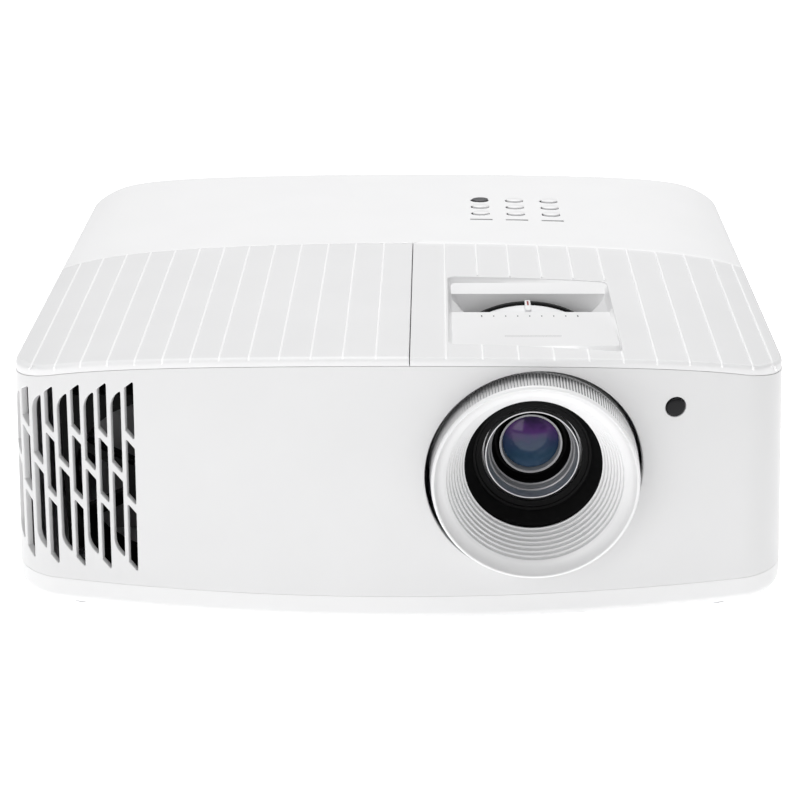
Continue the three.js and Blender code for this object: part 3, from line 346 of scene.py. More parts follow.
def thick_sheet(
    lines: Sequence[FlatLine],
    fill: Array,
    keep: Field,
    outer: Surface,
    inner: Surface,
    weld_at: float | None = None,
) -> Shape:
    """A closed sheet over a flat domain.

    The domain is triangulated with the lines as edges; the kept triangles are mapped to an outer
    and to an inner face, and a rim joins the two along every open edge.

    Args:
        lines: edges of the domain and rows of points beside them.
        fill: loose points in between.
        keep: for the middles of the triangles, whether they belong to the sheet.
        outer: maps domain points and their depths to the outer face.
        inner: the same for the inner face.
        weld_at: first coordinate at which the domain closes onto zero.

    Returns:
        The closed shape.
    """
    points, edges, depths, start = [], [], [], 0
    for line in lines:
        count = len(line.points)
        index = np.arange(count)
        pairs = np.stack([index, np.roll(index, -1)], axis=1)
        edges.append((pairs if line.closed else pairs[:-1]) + start)
        points.append(line.points)
        depths.append(np.full(count, line.depth))
        start += count
    points.append(fill)
    depths.append(np.zeros(len(fill)))
    flat = np.vstack(points)
    depth_in = np.concatenate(depths)
    result = delaunay_2d_cdt(
        [Vector(p) for p in flat.tolist()], np.vstack(edges).tolist(), [], 0, 1e-4
    )
    domain = np.array([v[:] for v in result[0]])
    faces = np.array(result[2])
    source = np.array([ids[0] if ids else -1 for ids in result[3]])
    depth = np.where(source >= 0, depth_in[source], 0.0)
    a, b, c = (domain[faces[:, k]] for k in range(3))
    area = (b[:, 0] - a[:, 0]) * (c[:, 1] - a[:, 1]) - (b[:, 1] - a[:, 1]) * (c[:, 0] - a[:, 0])
    faces = np.where((area > 0)[:, None], faces, faces[:, ::-1])
    faces = faces[(np.abs(area) > 1e-7) & keep((a + b + c) / 3)]
    if weld_at is not None:
        first = np.flatnonzero(np.abs(domain[:, 0]) < 1e-3)
        last = np.flatnonzero(np.abs(domain[:, 0] - weld_at) < 1e-3)
        first = first[np.argsort(domain[first, 1])]
        last = last[np.argsort(domain[last, 1])]
        swap = np.arange(len(domain))
        swap[last] = first[: len(last)]
        faces = swap[faces]
    used, faces = np.unique(faces, return_inverse=True)
    faces = faces.reshape(-1, 3)
    count = len(used)
    ends = np.vstack([faces[:, [0, 1]], faces[:, [1, 2]], faces[:, [2, 0]]])
    code = ends[:, 0] * count + ends[:, 1]
    rim = ends[~np.isin(code, ends[:, 1] * count + ends[:, 0])]
    rim_faces = np.stack([rim[:, 0], rim[:, 0] + count, rim[:, 1] + count, rim[:, 1]], axis=1)
    body = np.vstack([outer(domain[used], depth[used]), inner(domain[used], depth[used])])
    every = faces.tolist() + (faces[:, ::-1] + count).tolist() + rim_faces.tolist()
    return Shape(body, every, np.zeros(len(every), int))


def round_over(distance: Array, radius: float) -> Array:
    """Depth of a rounded edge: radius minus the height of a quarter circle at a distance."""
    inside = radius - np.clip(distance, 0, radius)
    return radius - np.sqrt(radius**2 - inside**2)


def distance_to(points: Array, line: Array) -> Array:
    """Shortest distance from each point to a closed line of straight pieces.

    Args:
        points: array (n, 2).
        line: array (m, 2); its last point joins its first.

    Returns:
        Array of n distances.
    """
    start, span = line, np.roll(line, -1, axis=0) - line
    squared = np.sum(span**2, axis=1)
    result = []
    for part in np.array_split(points, max(1, len(points) // BATCH)):
        away = part[:, None] - start
        share = np.clip(np.sum(away * span, axis=2) / squared, 0, 1)
        gap = away - share[..., None] * span
        result.append(np.sqrt(np.sum(gap**2, axis=2).min(axis=1)))
    return np.concatenate(result)


def inside_line(points: Array, line: Array) -> Array:
    """Whether each point lies inside a closed line, by counting crossings to its right.

    Args:
        points: array (n, 2).
        line: array (m, 2); its last point joins its first.

    Returns:
        Array of n truth values.
    """
    start, end = line, np.roll(line, -1, axis=0)
    result = []
    for part in np.array_split(points, max(1, len(points) // BATCH)):
        x, y = part[:, :1], part[:, 1:]
        spans = (start[:, 1] > y) != (end[:, 1] > y)
        rise = np.where(end[:, 1] == start[:, 1], 1.0, end[:, 1] - start[:, 1])
        cross = start[:, 0] + (y - start[:, 1]) / rise * (end[:, 0] - start[:, 0])
        result.append(np.sum(spans & (x < cross), axis=1) % 2 == 1)
    return np.concatenate(result)


# ---------------------------------------------------------------- finishes


class Grain(Enum):
    """Kinds of fine surface structure."""

    SPARK = "fine spark-eroded texture"
    BRUSHED = "straight brushed lines"
    CAST = "coarse cast skin"
    BOARD = "printed circuit board"


@dataclass(frozen=True)
class Finish:
    """A procedural surface: colour with faint cloudy variation, uneven gloss and a fine grain."""

    name: str
    colour: tuple[float, float, float]
    roughness: float = 0.4
    metallic: float = 0.0
    variation: float = 0.02
    grain: Grain = Grain.SPARK
    grain_size: float = 0.0004
    grain_depth: float = 0.00001
    coat: float = 0.0
    specular: float = 0.5

    def material(self) -> bpy.types.Material:
        """Builds the node tree.

        Returns:
            The material.
        """
        made = bpy.data.materials.get(self.name)
        if made:
            return made
        made = bpy.data.materials.new(self.name)
        made.use_nodes = True
        tree = made.node_tree
        shader = tree.nodes["Principled BSDF"]
        shader.inputs["Metallic"].default_value = self.metallic
        shader.inputs["Coat Weight"].default_value = self.coat
        shader.inputs["Specular IOR Level"].default_value = self.specular
        place = tree.nodes.new("ShaderNodeTexCoord").outputs["Object"]
        self._colour(tree, shader, place)
        self._gloss(tree, shader, place)
        self._bump(tree, shader, place)
        return made

    def _noise(self, tree: Tree, place: Socket, size: float, detail: float = 2.0) -> Socket:
        """A noise texture whose features are about size metres wide.

        Args:
            tree: node tree of the material.
            place: object coordinates.
            size: width of a feature.
            detail: number of finer layers.

        Returns:
            The noise, from 0 to 1.
        """
        noise = tree.nodes.new("ShaderNodeTexNoise")
        noise.inputs["Scale"].default_value = 1.0 / size
        noise.inputs["Detail"].default_value = detail
        tree.links.new(place, noise.inputs["Vector"])
        return noise.outputs["Fac"]

    def _colour(self, tree: Tree, shader: Node, place: Socket) -> None:
        """Base colour between two close tones.

        Args:
            tree: node tree of the material.
            shader: the surface shader.
            place: object coordinates.
        """
        ramp = tree.nodes.new("ShaderNodeValToRGB")
        low = tuple(c * (1 - self.variation) for c in self.colour)
        high = tuple(min(1.0, c * (1 + self.variation)) for c in self.colour)
        ramp.color_ramp.elements[0].position = 0.3
        ramp.color_ramp.elements[1].position = 0.7
        ramp.color_ramp.elements[0].color = (*low, 1)
        ramp.color_ramp.elements[1].color = (*high, 1)
        tree.links.new(self._noise(tree, place, 0.03), ramp.inputs["Fac"])
        colour = ramp.outputs["Color"]
        if self.grain is Grain.BOARD:
            colour = self._tracks(tree, place, colour)
        tree.links.new(colour, shader.inputs["Base Color"])

    def _tracks(self, tree: Tree, place: Socket, colour: Socket) -> Socket:
        """Pale tracks and pads over the board's colour.

        Args:
            tree: node tree of the material.
            place: object coordinates.
            colour: the board's colour.

        Returns:
            The colour with tracks.
        """
        cells = tree.nodes.new("ShaderNodeTexBrick")
        cells.inputs["Scale"].default_value = 160
        cells.inputs["Color1"].default_value = (*self.colour, 1)
        cells.inputs["Color2"].default_value = (*(c * 0.7 for c in self.colour), 1)
        cells.inputs["Mortar"].default_value = (0.30, 0.42, 0.22, 1)
        cells.inputs["Mortar Size"].default_value = 0.03
        tree.links.new(place, cells.inputs["Vector"])
        mix = tree.nodes.new("ShaderNodeMix")
        mix.data_type = "RGBA"
        mix.inputs["Factor"].default_value = 0.6
        tree.links.new(colour, mix.inputs["A"])
        tree.links.new(cells.outputs["Color"], mix.inputs["B"])
        return mix.outputs["Result"]

    def _gloss(self, tree: Tree, shader: Node, place: Socket) -> None:
        """Roughness that drifts a little over the surface.

        Args:
            tree: node tree of the material.
            shader: the surface shader.
            place: object coordinates.
        """
        spread_by = tree.nodes.new("ShaderNodeMapRange")
        spread_by.inputs["To Min"].default_value = max(0.02, self.roughness - 0.04)
        spread_by.inputs["To Max"].default_value = min(1.0, self.roughness + 0.04)
        tree.links.new(self._noise(tree, place, 0.012), spread_by.inputs["Value"])
        tree.links.new(spread_by.outputs["Result"], shader.inputs["Roughness"])

    def _bump(self, tree: Tree, shader: Node, place: Socket) -> None:
        """Grain height as bump.

        Args:
            tree: node tree of the material.
            shader: the surface shader.
            place: object coordinates.
        """
        source = place
        if self.grain is Grain.BRUSHED:
            stretch = tree.nodes.new("ShaderNodeMapping")
            stretch.inputs["Scale"].default_value = (1.0, 0.04, 1.0)
            tree.links.new(place, stretch.inputs["Vector"])
            source = stretch.outputs["Vector"]
        bump = tree.nodes.new("ShaderNodeBump")
        bump.inputs["Strength"].default_value = 0.5
        bump.inputs["Distance"].default_value = self.grain_depth
        tree.links.new(self._noise(tree, source, self.grain_size, 3.0), bump.inputs["Height"])
        tree.links.new(bump.outputs["Normal"], shader.inputs["Normal"])


@dataclass(frozen=True)
class CoatedGlassPaintedReflection(Finish):
    """Dark lens glass, blue in the middle, with painted reflection in its colour: lighter low down and
    violet at the upper rim.
    """

    axis: tuple[float, float] = (0.0, 0.0)
    radius: float = 0.01

    SPAN: ClassVar[float] = 1.2
    # Colours by height: the glass's blue tint with painted reflection, lighter low down and violet near the
    # top.
    REFLECTION_TONES: ClassVar[tuple[tuple[float, tuple[float, float, float]], ...]] = (
        (0.15, (0.060, 0.110, 0.19)),
        (0.42, (0.022, 0.060, 0.11)),
        (0.72, (0.020, 0.038, 0.10)),
        (0.95, (0.080, 0.025, 0.15)),
        (1.15, (0.02, 0.008, 0.05)),
    )

    def _colour(self, tree: Tree, shader: Node, place: Socket) -> None:
        """Base colour from the height above the lens axis, with a faint cloud; the ramp is the glass's blue
        tint with a painted reflection.

        Args:
            tree: node tree of the material.
            shader: the surface shader.
            place: object coordinates.
        """
        split = tree.nodes.new("ShaderNodeSeparateXYZ")
        tree.links.new(place, split.inputs["Vector"])
        height = tree.nodes.new("ShaderNodeMapRange")
        height.inputs["From Min"].default_value = self.axis[1] - self.radius
        height.inputs["From Max"].default_value = self.axis[1] + self.radius
        tree.links.new(split.outputs["Z"], height.inputs["Value"])
        cloud = tree.nodes.new("ShaderNodeMath")
        cloud.operation = "MULTIPLY_ADD"
        tree.links.new(self._noise(tree, place, 0.006), cloud.inputs[0])
        cloud.inputs[1].default_value = 0.35
        tree.links.new(height.outputs["Result"], cloud.inputs[2])
        ramp = tree.nodes.new("ShaderNodeValToRGB")
        elements = ramp.color_ramp.elements
        while len(elements) < len(self.REFLECTION_TONES):
            elements.new(0.5)
        for element, (position, colour) in zip(elements, self.REFLECTION_TONES):
            element.position = min(1.0, position / self.SPAN)
            element.color = (*colour, 1)
        scale = tree.nodes.new("ShaderNodeMath")
        scale.operation = "DIVIDE"
        scale.inputs[1].default_value = self.SPAN
        tree.links.new(cloud.outputs["Value"], scale.inputs[0])
        tree.links.new(scale.outputs["Value"], ramp.inputs["Fac"])
        tree.links.new(ramp.outputs["Color"], shader.inputs["Base Color"])


CASING = Finish("casing satin white", (0.68, 0.68, 0.684), 0.36, grain_depth=0.000004, variation=0.008)
BASE_WHITE = Finish("base satin white", (0.75, 0.75, 0.754), 0.4, grain_depth=0.000004, variation=0.008)
COVER = Finish("cover matte white", (0.74, 0.74, 0.745), 0.55, grain_depth=0.000008, variation=0.01)
COVER_REAR = Finish("cover rear white", (0.86, 0.86, 0.865), 0.42, grain_depth=0.000004, variation=0.006)
# Raised lines: the cover's own plastic painted lighter, a painted highlight on the ridge tops.
RIDGE_PAINTED_HIGHLIGHT = Finish("raised line painted highlight", (0.93, 0.93, 0.935), 0.4, grain_depth=0.000002, variation=0.004)
# The covers' rounded edge and skirt painted lighter than the cover: a painted highlight.
LIP_PAINTED_HIGHLIGHT = Finish("cover edge painted highlight", (0.79, 0.79, 0.795), 0.45, grain_depth=0.000004, variation=0.006)
FOCUS = Finish("focus ring white", (0.76, 0.76, 0.765), 0.32, grain_depth=0.000003, variation=0.006)
KEY = Finish("key white", (0.84, 0.84, 0.845), 0.34, grain_depth=0.000002, variation=0.006)
KEY_GREY = Finish("key dark grey", (0.10, 0.10, 0.105), 0.4, grain_depth=0.000003)
LIGHT_BAR = Finish("light bar smoke", (0.20, 0.20, 0.21), 0.3, coat=0.3)
WINDOW = Finish("infrared window black", (0.004, 0.004, 0.005), 0.2, grain_depth=0.0, specular=0.2)
BLACK = Finish("black moulding", (0.002, 0.002, 0.0022), 0.55, grain_depth=0.000012, specular=0.12)
SATIN_BLACK = Finish("satin black ring", (0.003, 0.003, 0.0035), 0.4, grain_depth=0.000003, specular=0.15)
PRINT = Finish("grey print", (0.12, 0.12, 0.125), 0.6)
POINTER = Finish("pointer mark", (0.25, 0.03, 0.03), 0.5)
PANEL = Finish("grey panel", (0.30, 0.30, 0.31), 0.45, 0.3, grain_depth=0.000015)
FOOT = Finish("foot grey", (0.40, 0.40, 0.41), 0.6, grain_size=0.0008, grain_depth=0.00002)
KNURL = Finish("knurled white", (0.72, 0.72, 0.725), 0.4, grain_depth=0.000003, variation=0.006)
# Dark grey for the faces in the knurl's valleys: painted shade.
KNURL_VALLEY_PAINTED_SHADE = Finish("knurl valley painted shade", (0.20, 0.20, 0.205), 0.5, grain_depth=0.000003, variation=0.006)
ZOOM_GREY = Finish("zoom ring grey", (0.80, 0.80, 0.81), 0.4, grain_depth=0.000004)
FLOOR = Finish("studio floor", (0.95, 0.95, 0.95), 0.8, variation=0.003, grain_depth=0.0, specular=0.1)
BOARD = Finish("circuit board", (0.02, 0.11, 0.05), 0.4, grain=Grain.BOARD, variation=0.15)
STEEL = Finish("nickel steel", (0.62, 0.62, 0.64), 0.28, 1.0, grain=Grain.BRUSHED, variation=0.05)
ALUMINIUM = Finish("cast aluminium", (0.60, 0.61, 0.63), 0.45, 0.9, 0.06, Grain.CAST, 0.0015, 0.00006)
SILVER = Finish("silver lens ring", (0.50, 0.50, 0.51), 0.3, 0.8, grain_depth=0.000002)
LENS_GREY = Finish("grey lens ring", (0.32, 0.32, 0.33), 0.35, 0.3, grain_depth=0.000003)
QUARTZ = Finish("lamp quartz", (0.75, 0.77, 0.78), 0.08, coat=1.0, grain_depth=0.0)
WHEEL = Finish("dichroic wheel", (0.45, 0.30, 0.12), 0.12, 0.5, 0.6, coat=1.0, grain_depth=0.0)
RUBBER = Finish("rubber", (0.018, 0.018, 0.018), 0.7, grain_size=0.0008, grain_depth=0.00003)
COATED = Finish("coated glass", (0.03, 0.05, 0.12), 0.05, coat=1.0, grain_depth=0.0)

SLOT_FINISH = {
    "casing_white": CASING,
    "cover_white": COVER,
    "key_white": KEY,
    "key_grey": KEY_GREY,
    "light_bar": LIGHT_BAR,
    "smoked_window": WINDOW,
    "focus_white": FOCUS,
    "black_plastic": BLACK,
    "panel_grey": PANEL,
    "circuit_board": BOARD,
    "steel": STEEL,
    "aluminium": ALUMINIUM,
    "optical_glass": COATED,
    "lamp_glass": QUARTZ,
    "wheel_glass": WHEEL,
    "rubber": RUBBER,
}


def add_piece(
    name: str,
    shape: Shape,
    finishes: Sequence[Finish],
    body: str,
    nodes: Sequence[str],
    slot: str,
    sharp: float = 38.0,
) -> bpy.types.Object:
    """Makes a mesh object, welds it, points its faces outwards and ties it to the frame.

    Args:
        name: piece name.
        shape: points in millimetres.
        finishes: one finish per material index.
        body: CAD body that it rides on.
        nodes: CAD nodes that it replaces.
        slot: material slot of the record; not used here.
        sharp: angle in degrees above which an edge stays sharp.

    Returns:
        The object.
    """
    mesh = bpy.data.meshes.new(name)
    mesh.from_pydata((shape.points * MM).tolist(), [], shape.faces)
    for finish in finishes:
        mesh.materials.append(finish.material())
    mesh.polygons.foreach_set("material_index", shape.paint.astype(np.int32))
    work = bmesh.new()
    work.from_mesh(mesh)
    bmesh.ops.remove_doubles(work, verts=work.verts, dist=WELD)
    bmesh.ops.recalc_face_normals(work, faces=work.faces)
    work.to_mesh(mesh)
    work.free()
    mesh.polygons.foreach_set("use_smooth", np.ones(len(mesh.polygons), bool))
    mesh.set_sharp_from_angle(angle=math.radians(sharp))
    made = bpy.data.objects.new(name, mesh)
    bpy.context.scene.collection.objects.link(made)
    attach(made, body)
    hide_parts(*nodes)
    LOG.info("%s: %d faces on %s", name, len(mesh.polygons), body)
    return made


# ---------------------------------------------------------------- casing


@dataclass
class Case:
    """The casing's outline and top surface; its overall sizes come from the CAD nodes."""

    front_bow: float = 22.0
    rear_bow: float = 4.0
    corner: float = 19.0
    corner_pull: float = 0.55
    wall: float = 2.5
    lean: float = 0.047
    base_edge: float = 5.6
    cover: float = 3.2
    skirt: float = 1.5
    front_lower_by: float = 2.7
    front_crown: float = 11.3
    front_shoulder: float = 4.1
    rear_crown: float = 2.8
    rear_shoulder: float = 9.0
    gap: float = 0.35

    def __post_init__(self) -> None:
        """Reads the overall sizes from the base and the top cover."""
        low, high = node_box("base_case")
        self.half, self.front, self.rear = float(high[0]), float(low[1]), float(high[1])
        self.base_bottom, self.base_top = float(low[2]), float(high[2])
        self.top_height = float(node_box("top_cover")[1][2])

    def front_at(self, x: Array) -> Array:
        """Front face in Y: the middle plus the bow times the square of x over the half width."""
        return self.front + self.front_bow * (x / self.half) ** 2

    def rear_at(self, x: Array) -> Array:
        """Rear face in Y, bowed the other way."""
        return self.rear - self.rear_bow * (x / self.half) ** 2

    def top(self, x: Array, y: Array) -> Array:
        """Height of the top: a slope to the front minus a crown that fades along the length.

        The crown is a square plus a high power of x over the half width: 6 at the front, 10 behind.

        Args:
            x: places across.
            y: places along.

        Returns:
            Heights.
        """
        across = np.abs(x) / self.half
        along = (y - self.front) / (self.rear - self.front)
        middle = self.top_height - self.front_lower_by * (1 - along)
        front = self.front_crown * across**2 + self.front_shoulder * across**6
        rear = self.rear_crown * across**2 + self.rear_shoulder * across**10
        return middle - front * (1 - along) - rear * along

    def under(self, x: Array, y: Array) -> Array:
        """Lower edge of the covers; their skirt deepens towards the two front corners.

        Args:
            x: places across.
            y: places along.

        Returns:
            Heights.
        """
        along = (y - self.front) / (self.rear - self.front)
        deeper = self.skirt * (np.abs(x) / self.half) ** 6 * (1 - along)
        return self.top(x, y) - self.cover - deeper

    def narrowing(self, z: Array) -> Array:
        """Share of the half width that is left at a level, because the sides lean inwards."""
        return 1 - self.lean * np.maximum(z - self.base_top, 0) / self.half

    def outline(self, inset: float, density: int = 1) -> Array:
        """Plan outline, anticlockwise from the middle of the front, moved inwards by inset.

        The front and rear are parabolas, the sides straight, the corners cubic curves.

        Args:
            inset: how far the outline moves inwards.
            density: how many times more points than usual.

        Returns:
            Array (n, 2), without the first point repeated.
        """
        half, radius = self.half - inset, self.corner - inset
        flat, pull = half - radius, self.corner_pull * radius
        front_slope = 2 * self.front_bow * flat / self.half**2
        rear_slope = 2 * self.rear_bow * flat / self.half**2

        def front(x: float | Array) -> float | Array:
            """The inset front face at x."""
            return self.front_at(x) + inset

        def rear(x: float | Array) -> float | Array:
            """The inset rear face at x."""
            return self.rear_at(x) - inset

        share = np.linspace(0, 1, 24 * density, endpoint=False)[:, None]
        weights = (1 - share) ** 3, 3 * (1 - share) ** 2 * share, 3 * (1 - share) * share**2, share**3

        def curve(*p: tuple[float, float]) -> Array:
            """Cubic curve through four control points."""
            return sum(w * np.array(q) for w, q in zip(weights, p))

        ends = front(half) + radius, rear(half) - radius
        near = np.linspace(0, flat, 60 * density, endpoint=False)
        side = np.linspace(*ends, 50 * density, endpoint=False)
        far = np.linspace(flat, 0, 50 * density)
        right = np.vstack(
            [
                np.stack([near, front(near)], axis=1),
                curve(
                    (flat, front(flat)),
                    (flat + pull, front(flat) + front_slope * pull),
                    (half, ends[0] - pull),
                    (half, ends[0]),
                ),
                np.stack([np.full_like(side, half), side], axis=1),
                curve(
                    (half, ends[1]),
                    (half, ends[1] + pull),
                    (flat + pull, rear(flat) - rear_slope * pull),
                    (flat, rear(flat)),
                ),
                np.stack([far, rear(far)], axis=1),
            ]
        )
        left = right[-2:0:-1] * np.array([-1, 1])
        return np.vstack([right, left])

    def top_outline(self, inset: float) -> Array:
        """The plan outline as it is at the top edge, narrowed by the lean of the sides.

        Args:
            inset: how far the outline moves inwards.

        Returns:
            Array (n, 2).
        """
        plan = self.outline(inset)
        x = plan[:, 0]
        for _ in range(3):
            x = plan[:, 0] * self.narrowing(self.top(x, plan[:, 1]))
        return np.stack([x, plan[:, 1]], axis=1)


@dataclass
class Covers:
    """Top cover with the zoom recess and the key openings, and the lamp cover with its lines."""

    case: Case
    edge: float = 1.8
    # Width of the band along the rim that is painted lighter as a painted highlight.
    lip: float = 1.95
    seam_edge: float = 0.35
    zone_rear: float = 18.0
    zone_bow: float = 2.0
    zone_step: float = 0.25
    line_half: float = 0.38
    line_rise: float = 0.14
    fill_step: float = 3.2
    line_room: float = 1.3
    recess_left: float = 33.2
    recess_right: float = 34.2
    label_before: float = 52.0
    shelf_behind: float = 15.5
    slot_before: float = 1.0
    slot_behind: float = 5.5
    recess_corner: float = 3.2
    recess_edge: float = 0.5
    recess_run: float = 1.3
    shelf_drop: float = 1.7
    slot_depth: float = 4.1
    funnel_side: float = 7.0
    funnel_rear: float = 1.6
    funnel_floor: float = 103.5
    key_edge: float = 0.3
    key_gap: float = 0.5
    key_shift: float = 0.3
    # How far the black painted-shadow rings in the key gaps sit below the key tops.
    shadow_ring_drop: float = 1.25
    plate: float = 2.2

    def __post_init__(self) -> None:
        """Takes the seam, the recess and the keypad from the CAD nodes."""
        self.seam = float(node_box("lamp_cover")[1][0])
        ring_low, ring_high = node_box("zoom_ring")
        middle = float((ring_low[0] + ring_high[0]) / 2)
        self.left, self.right = middle - self.recess_left, middle + self.recess_right
        self.label_front = float(ring_low[1]) - self.label_before
        self.shelf_rear = float(ring_high[1]) + self.shelf_behind
        self.slot_front = float(ring_low[1]) - self.slot_before
        self.slot_rear = float(ring_high[1]) + self.slot_behind
        self.middle = middle
        self.keys = {n: node_box(n) for n in frame["nodes"] if n.startswith("key_")}
        self.keys.pop("keypad_board", None)
        self.bars = {n: node_box(n) for n in frame["nodes"] if n.startswith("light_bar_")}
        self.rim = self.case.top_outline(0)

    def border(self, x: Array) -> Array:
        """Rear edge of the front zone."""
        return self.zone_rear - self.zone_bow * (x / self.case.half) ** 2

    def rim_rows(self) -> list[FlatLine]:
        """The outline of the top and the rows inside it that carry its rounded edge."""
        return [FlatLine(self.case.top_outline(share * self.edge)) for share in FILLET_ROWS]

    def seam_rows(self, side: float) -> list[FlatLine]:
        """Rows beside the seam and the zone's rear edge, on the lamp cover (-1) or beyond it (1).

        Args:
            side: -1 for the lamp cover, 1 for the top cover.

        Returns:
            Open lines.
        """
        rows = []
        start = self.case.gap if side > 0 else 0.0
        y = np.arange(self.case.front - 5, self.zone_rear + 1, 2.0)
        x = np.arange(-self.case.half - 4, self.seam + 2, 2.5)
        for share in FILLET_ROWS:
            move = side * (start + share * self.seam_edge)
            rows.append(FlatLine(np.stack([np.full_like(y, self.seam + move), y], axis=1), False))
            rows.append(FlatLine(np.stack([x, self.border(x) + move], axis=1), False))
        return rows

    def lamp_cover(self) -> Shape:
        """Lamp cover: the part of the top left of the seam and before the zone's rear edge.

        Returns:
            The closed cover with its raised lines.
        """
        case, lines = self.case, self.rim_rows() + self.seam_rows(-1)
        fill = spread((-case.half, case.front), (self.seam, self.zone_rear), self.fill_step)

        def keep(p: Array) -> Array:
            """Whether points belong to the lamp cover."""
            inner = (p[:, 0] < self.seam) & (p[:, 1] < self.border(p[:, 0]))
            return inner & inside_line(p, self.rim)

        def outer(p: Array, depth: Array) -> Array:
            """Top surface, lowered by the greatest of three rounded edges.

            Args:
                p: domain points, as an array (n, 2).
                depth: depth of each point, from the lines; not used here.

            Returns:
                Array (n, 3).
            """
            x, y = p.T
            drop = np.maximum.reduce(
                [
                    round_over(distance_to(p, self.rim), self.edge),
                    round_over(self.seam - x, self.seam_edge),
                    round_over(self.border(x) - y, self.seam_edge),
                ]
            )
            return np.stack([x, y, case.top(x, y) - drop], axis=1)

        def inner(p: Array, depth: Array) -> Array:
            """Lower edge of the cover."""
            x, y = p.T
            return np.stack([x, y, case.under(x, y)], axis=1)

        fill = clear_of(fill, lines, self.line_room)
        sheet = thick_sheet(lines, fill, keep, outer, inner)
        # The rounded edge and skirt take the lighter paint, a painted highlight.
        sheet.paint = np.where(self.on_lip_highlight(sheet), 2, 0)
        return sheet + self.ridges(self.line_places(-1))

    def on_lip_highlight(self, sheet: Shape) -> Array:
        """Which faces belong to the rounded edge or the skirt below it; they are painted lighter as a
        painted highlight.
        """
        return distance_to(sheet.middles(), self.rim) < self.lip

    def line_places(self, side: int) -> list[tuple[float, float, float]]:
        """Raised lines as (x, first y, last y), on the lamp cover (-1) or on the top cover (1).

        Args:
            side: -1 for the lamp cover, 1 for the top cover.

        Returns:
            One tuple per line.
        """
        places = []
        if side < 0:
            for k in range(1, 14):
                x = self.seam + 0.2 - 12.95 * k + 0.13 * k * k - 0.6 * max(0.0, k - 8.6)
                places.append((x, self.case.front_at(x) + 0.5, self.border(x) - 0.4))
            return places
        for k in range(1, 12):
            x = self.seam + 14.2 * k - 0.085 * k * k - (3.3 if k == 11 else 0)
            front = self.case.front_at(x) + 0.5
            if self.left - 1 < x < self.right + 1:
                places.append((x, front, self.label_front - 0.8))
                front = self.shelf_rear + 0.8
            places.append((x, front, self.border(x) - 0.2))
        return places

    def ridges(self, places: Sequence[tuple[float, float, float]]) -> Shape:
        """Raised lines: a low arched section carried along the top at constant x.

        Args:
            places: x, first y and last y of every line.

        Returns:
            The closed lines, in the second material, which is lighter than the cover as a painted
            highlight.
        """
        across = np.linspace(-1, 1, 7)
        rise = self.line_rise * (1 - across**4)
        tubes = []
        for x, start, end in places:
            y = np.linspace(start, end, 60)
            y = np.concatenate([start + (y[1] - y[0]) * np.array([0, 0.2, 0.5]), y[1:]])
            xs = x + across * self.line_half
            grid_x, grid_y = np.meshgrid(xs, y)
            flat = np.stack([grid_x.ravel(), grid_y.ravel()], axis=1)
            drop = round_over(distance_to(flat, self.rim), self.edge).reshape(grid_x.shape)
            base = self.case.top(grid_x, grid_y) - drop
            upper = np.stack([grid_x, grid_y, base + rise], axis=-1)
            lower = np.stack([grid_x, grid_y, base - 0.5], axis=-1)[:, ::-1]
            tube = grid_shape(np.concatenate([upper, lower], axis=1), wrap_v=True)
            columns = 2 * len(across)
            last = len(tube.points) - columns
            caps = [list(range(columns)), list(range(last, last + columns))[::-1]]
            # Material 1 paints the raised lines lighter: a painted highlight.
            tubes.append(Shape(tube.points, tube.faces + caps, np.ones(len(tube.faces) + 2, int)))
        return joined(tubes)

    def recess_distance(self, p: Array) -> Array:
        """Signed distance to the rounded rectangle of the recess, negative inside.

        Args:
            p: domain points, as an array (n, 2).

        Returns:
            Array of n distances.
        """
        centre = np.array([(self.left + self.right) / 2, (self.label_front + self.shelf_rear) / 2])
        half = np.array([(self.right - self.left) / 2, (self.shelf_rear - self.label_front) / 2])
        q = np.abs(p - centre) - (half - self.recess_corner)
        outside = np.linalg.norm(np.maximum(q, 0), axis=1)
        return outside + np.minimum(q.max(axis=1), 0) - self.recess_corner

    def recess_floor(self, x: Array, y: Array) -> Array:
        """Height inside the recess: the label plate, the funnel around the ring, and the shelf.

        Args:
            x: places across.
            y: places along.

        Returns:
            Heights.
        """
        top = self.case.top
        share = (y - self.label_front) / (self.slot_front - self.label_front)
        label = top(self.middle, self.label_front) - 0.5 - 3.1 * share
        start = top(self.middle, self.shelf_rear) - self.shelf_drop
        low = top(self.middle, self.shelf_rear) - self.slot_depth
        rise = (y - self.slot_rear) / (self.shelf_rear - self.slot_rear)
        shelf = low + (start - low) * np.clip(rise, 0, 1) ** 1.3
        slope = (low - self.funnel_floor) / self.funnel_side
        sides = np.maximum(self.left + self.funnel_side - x, x - self.right + self.funnel_side)
        steep = (low - self.funnel_floor) / self.funnel_rear
        rear = self.funnel_floor + steep * (y - self.slot_rear + self.funnel_rear)
        funnel = np.maximum.reduce([self.funnel_floor + slope * sides, rear, 0 * x + self.funnel_floor])
        behind = np.clip((y - self.slot_front) / 0.2, 0, 1)
        return np.where(y >= self.slot_rear, shelf, label * (1 - behind) + funnel * behind)

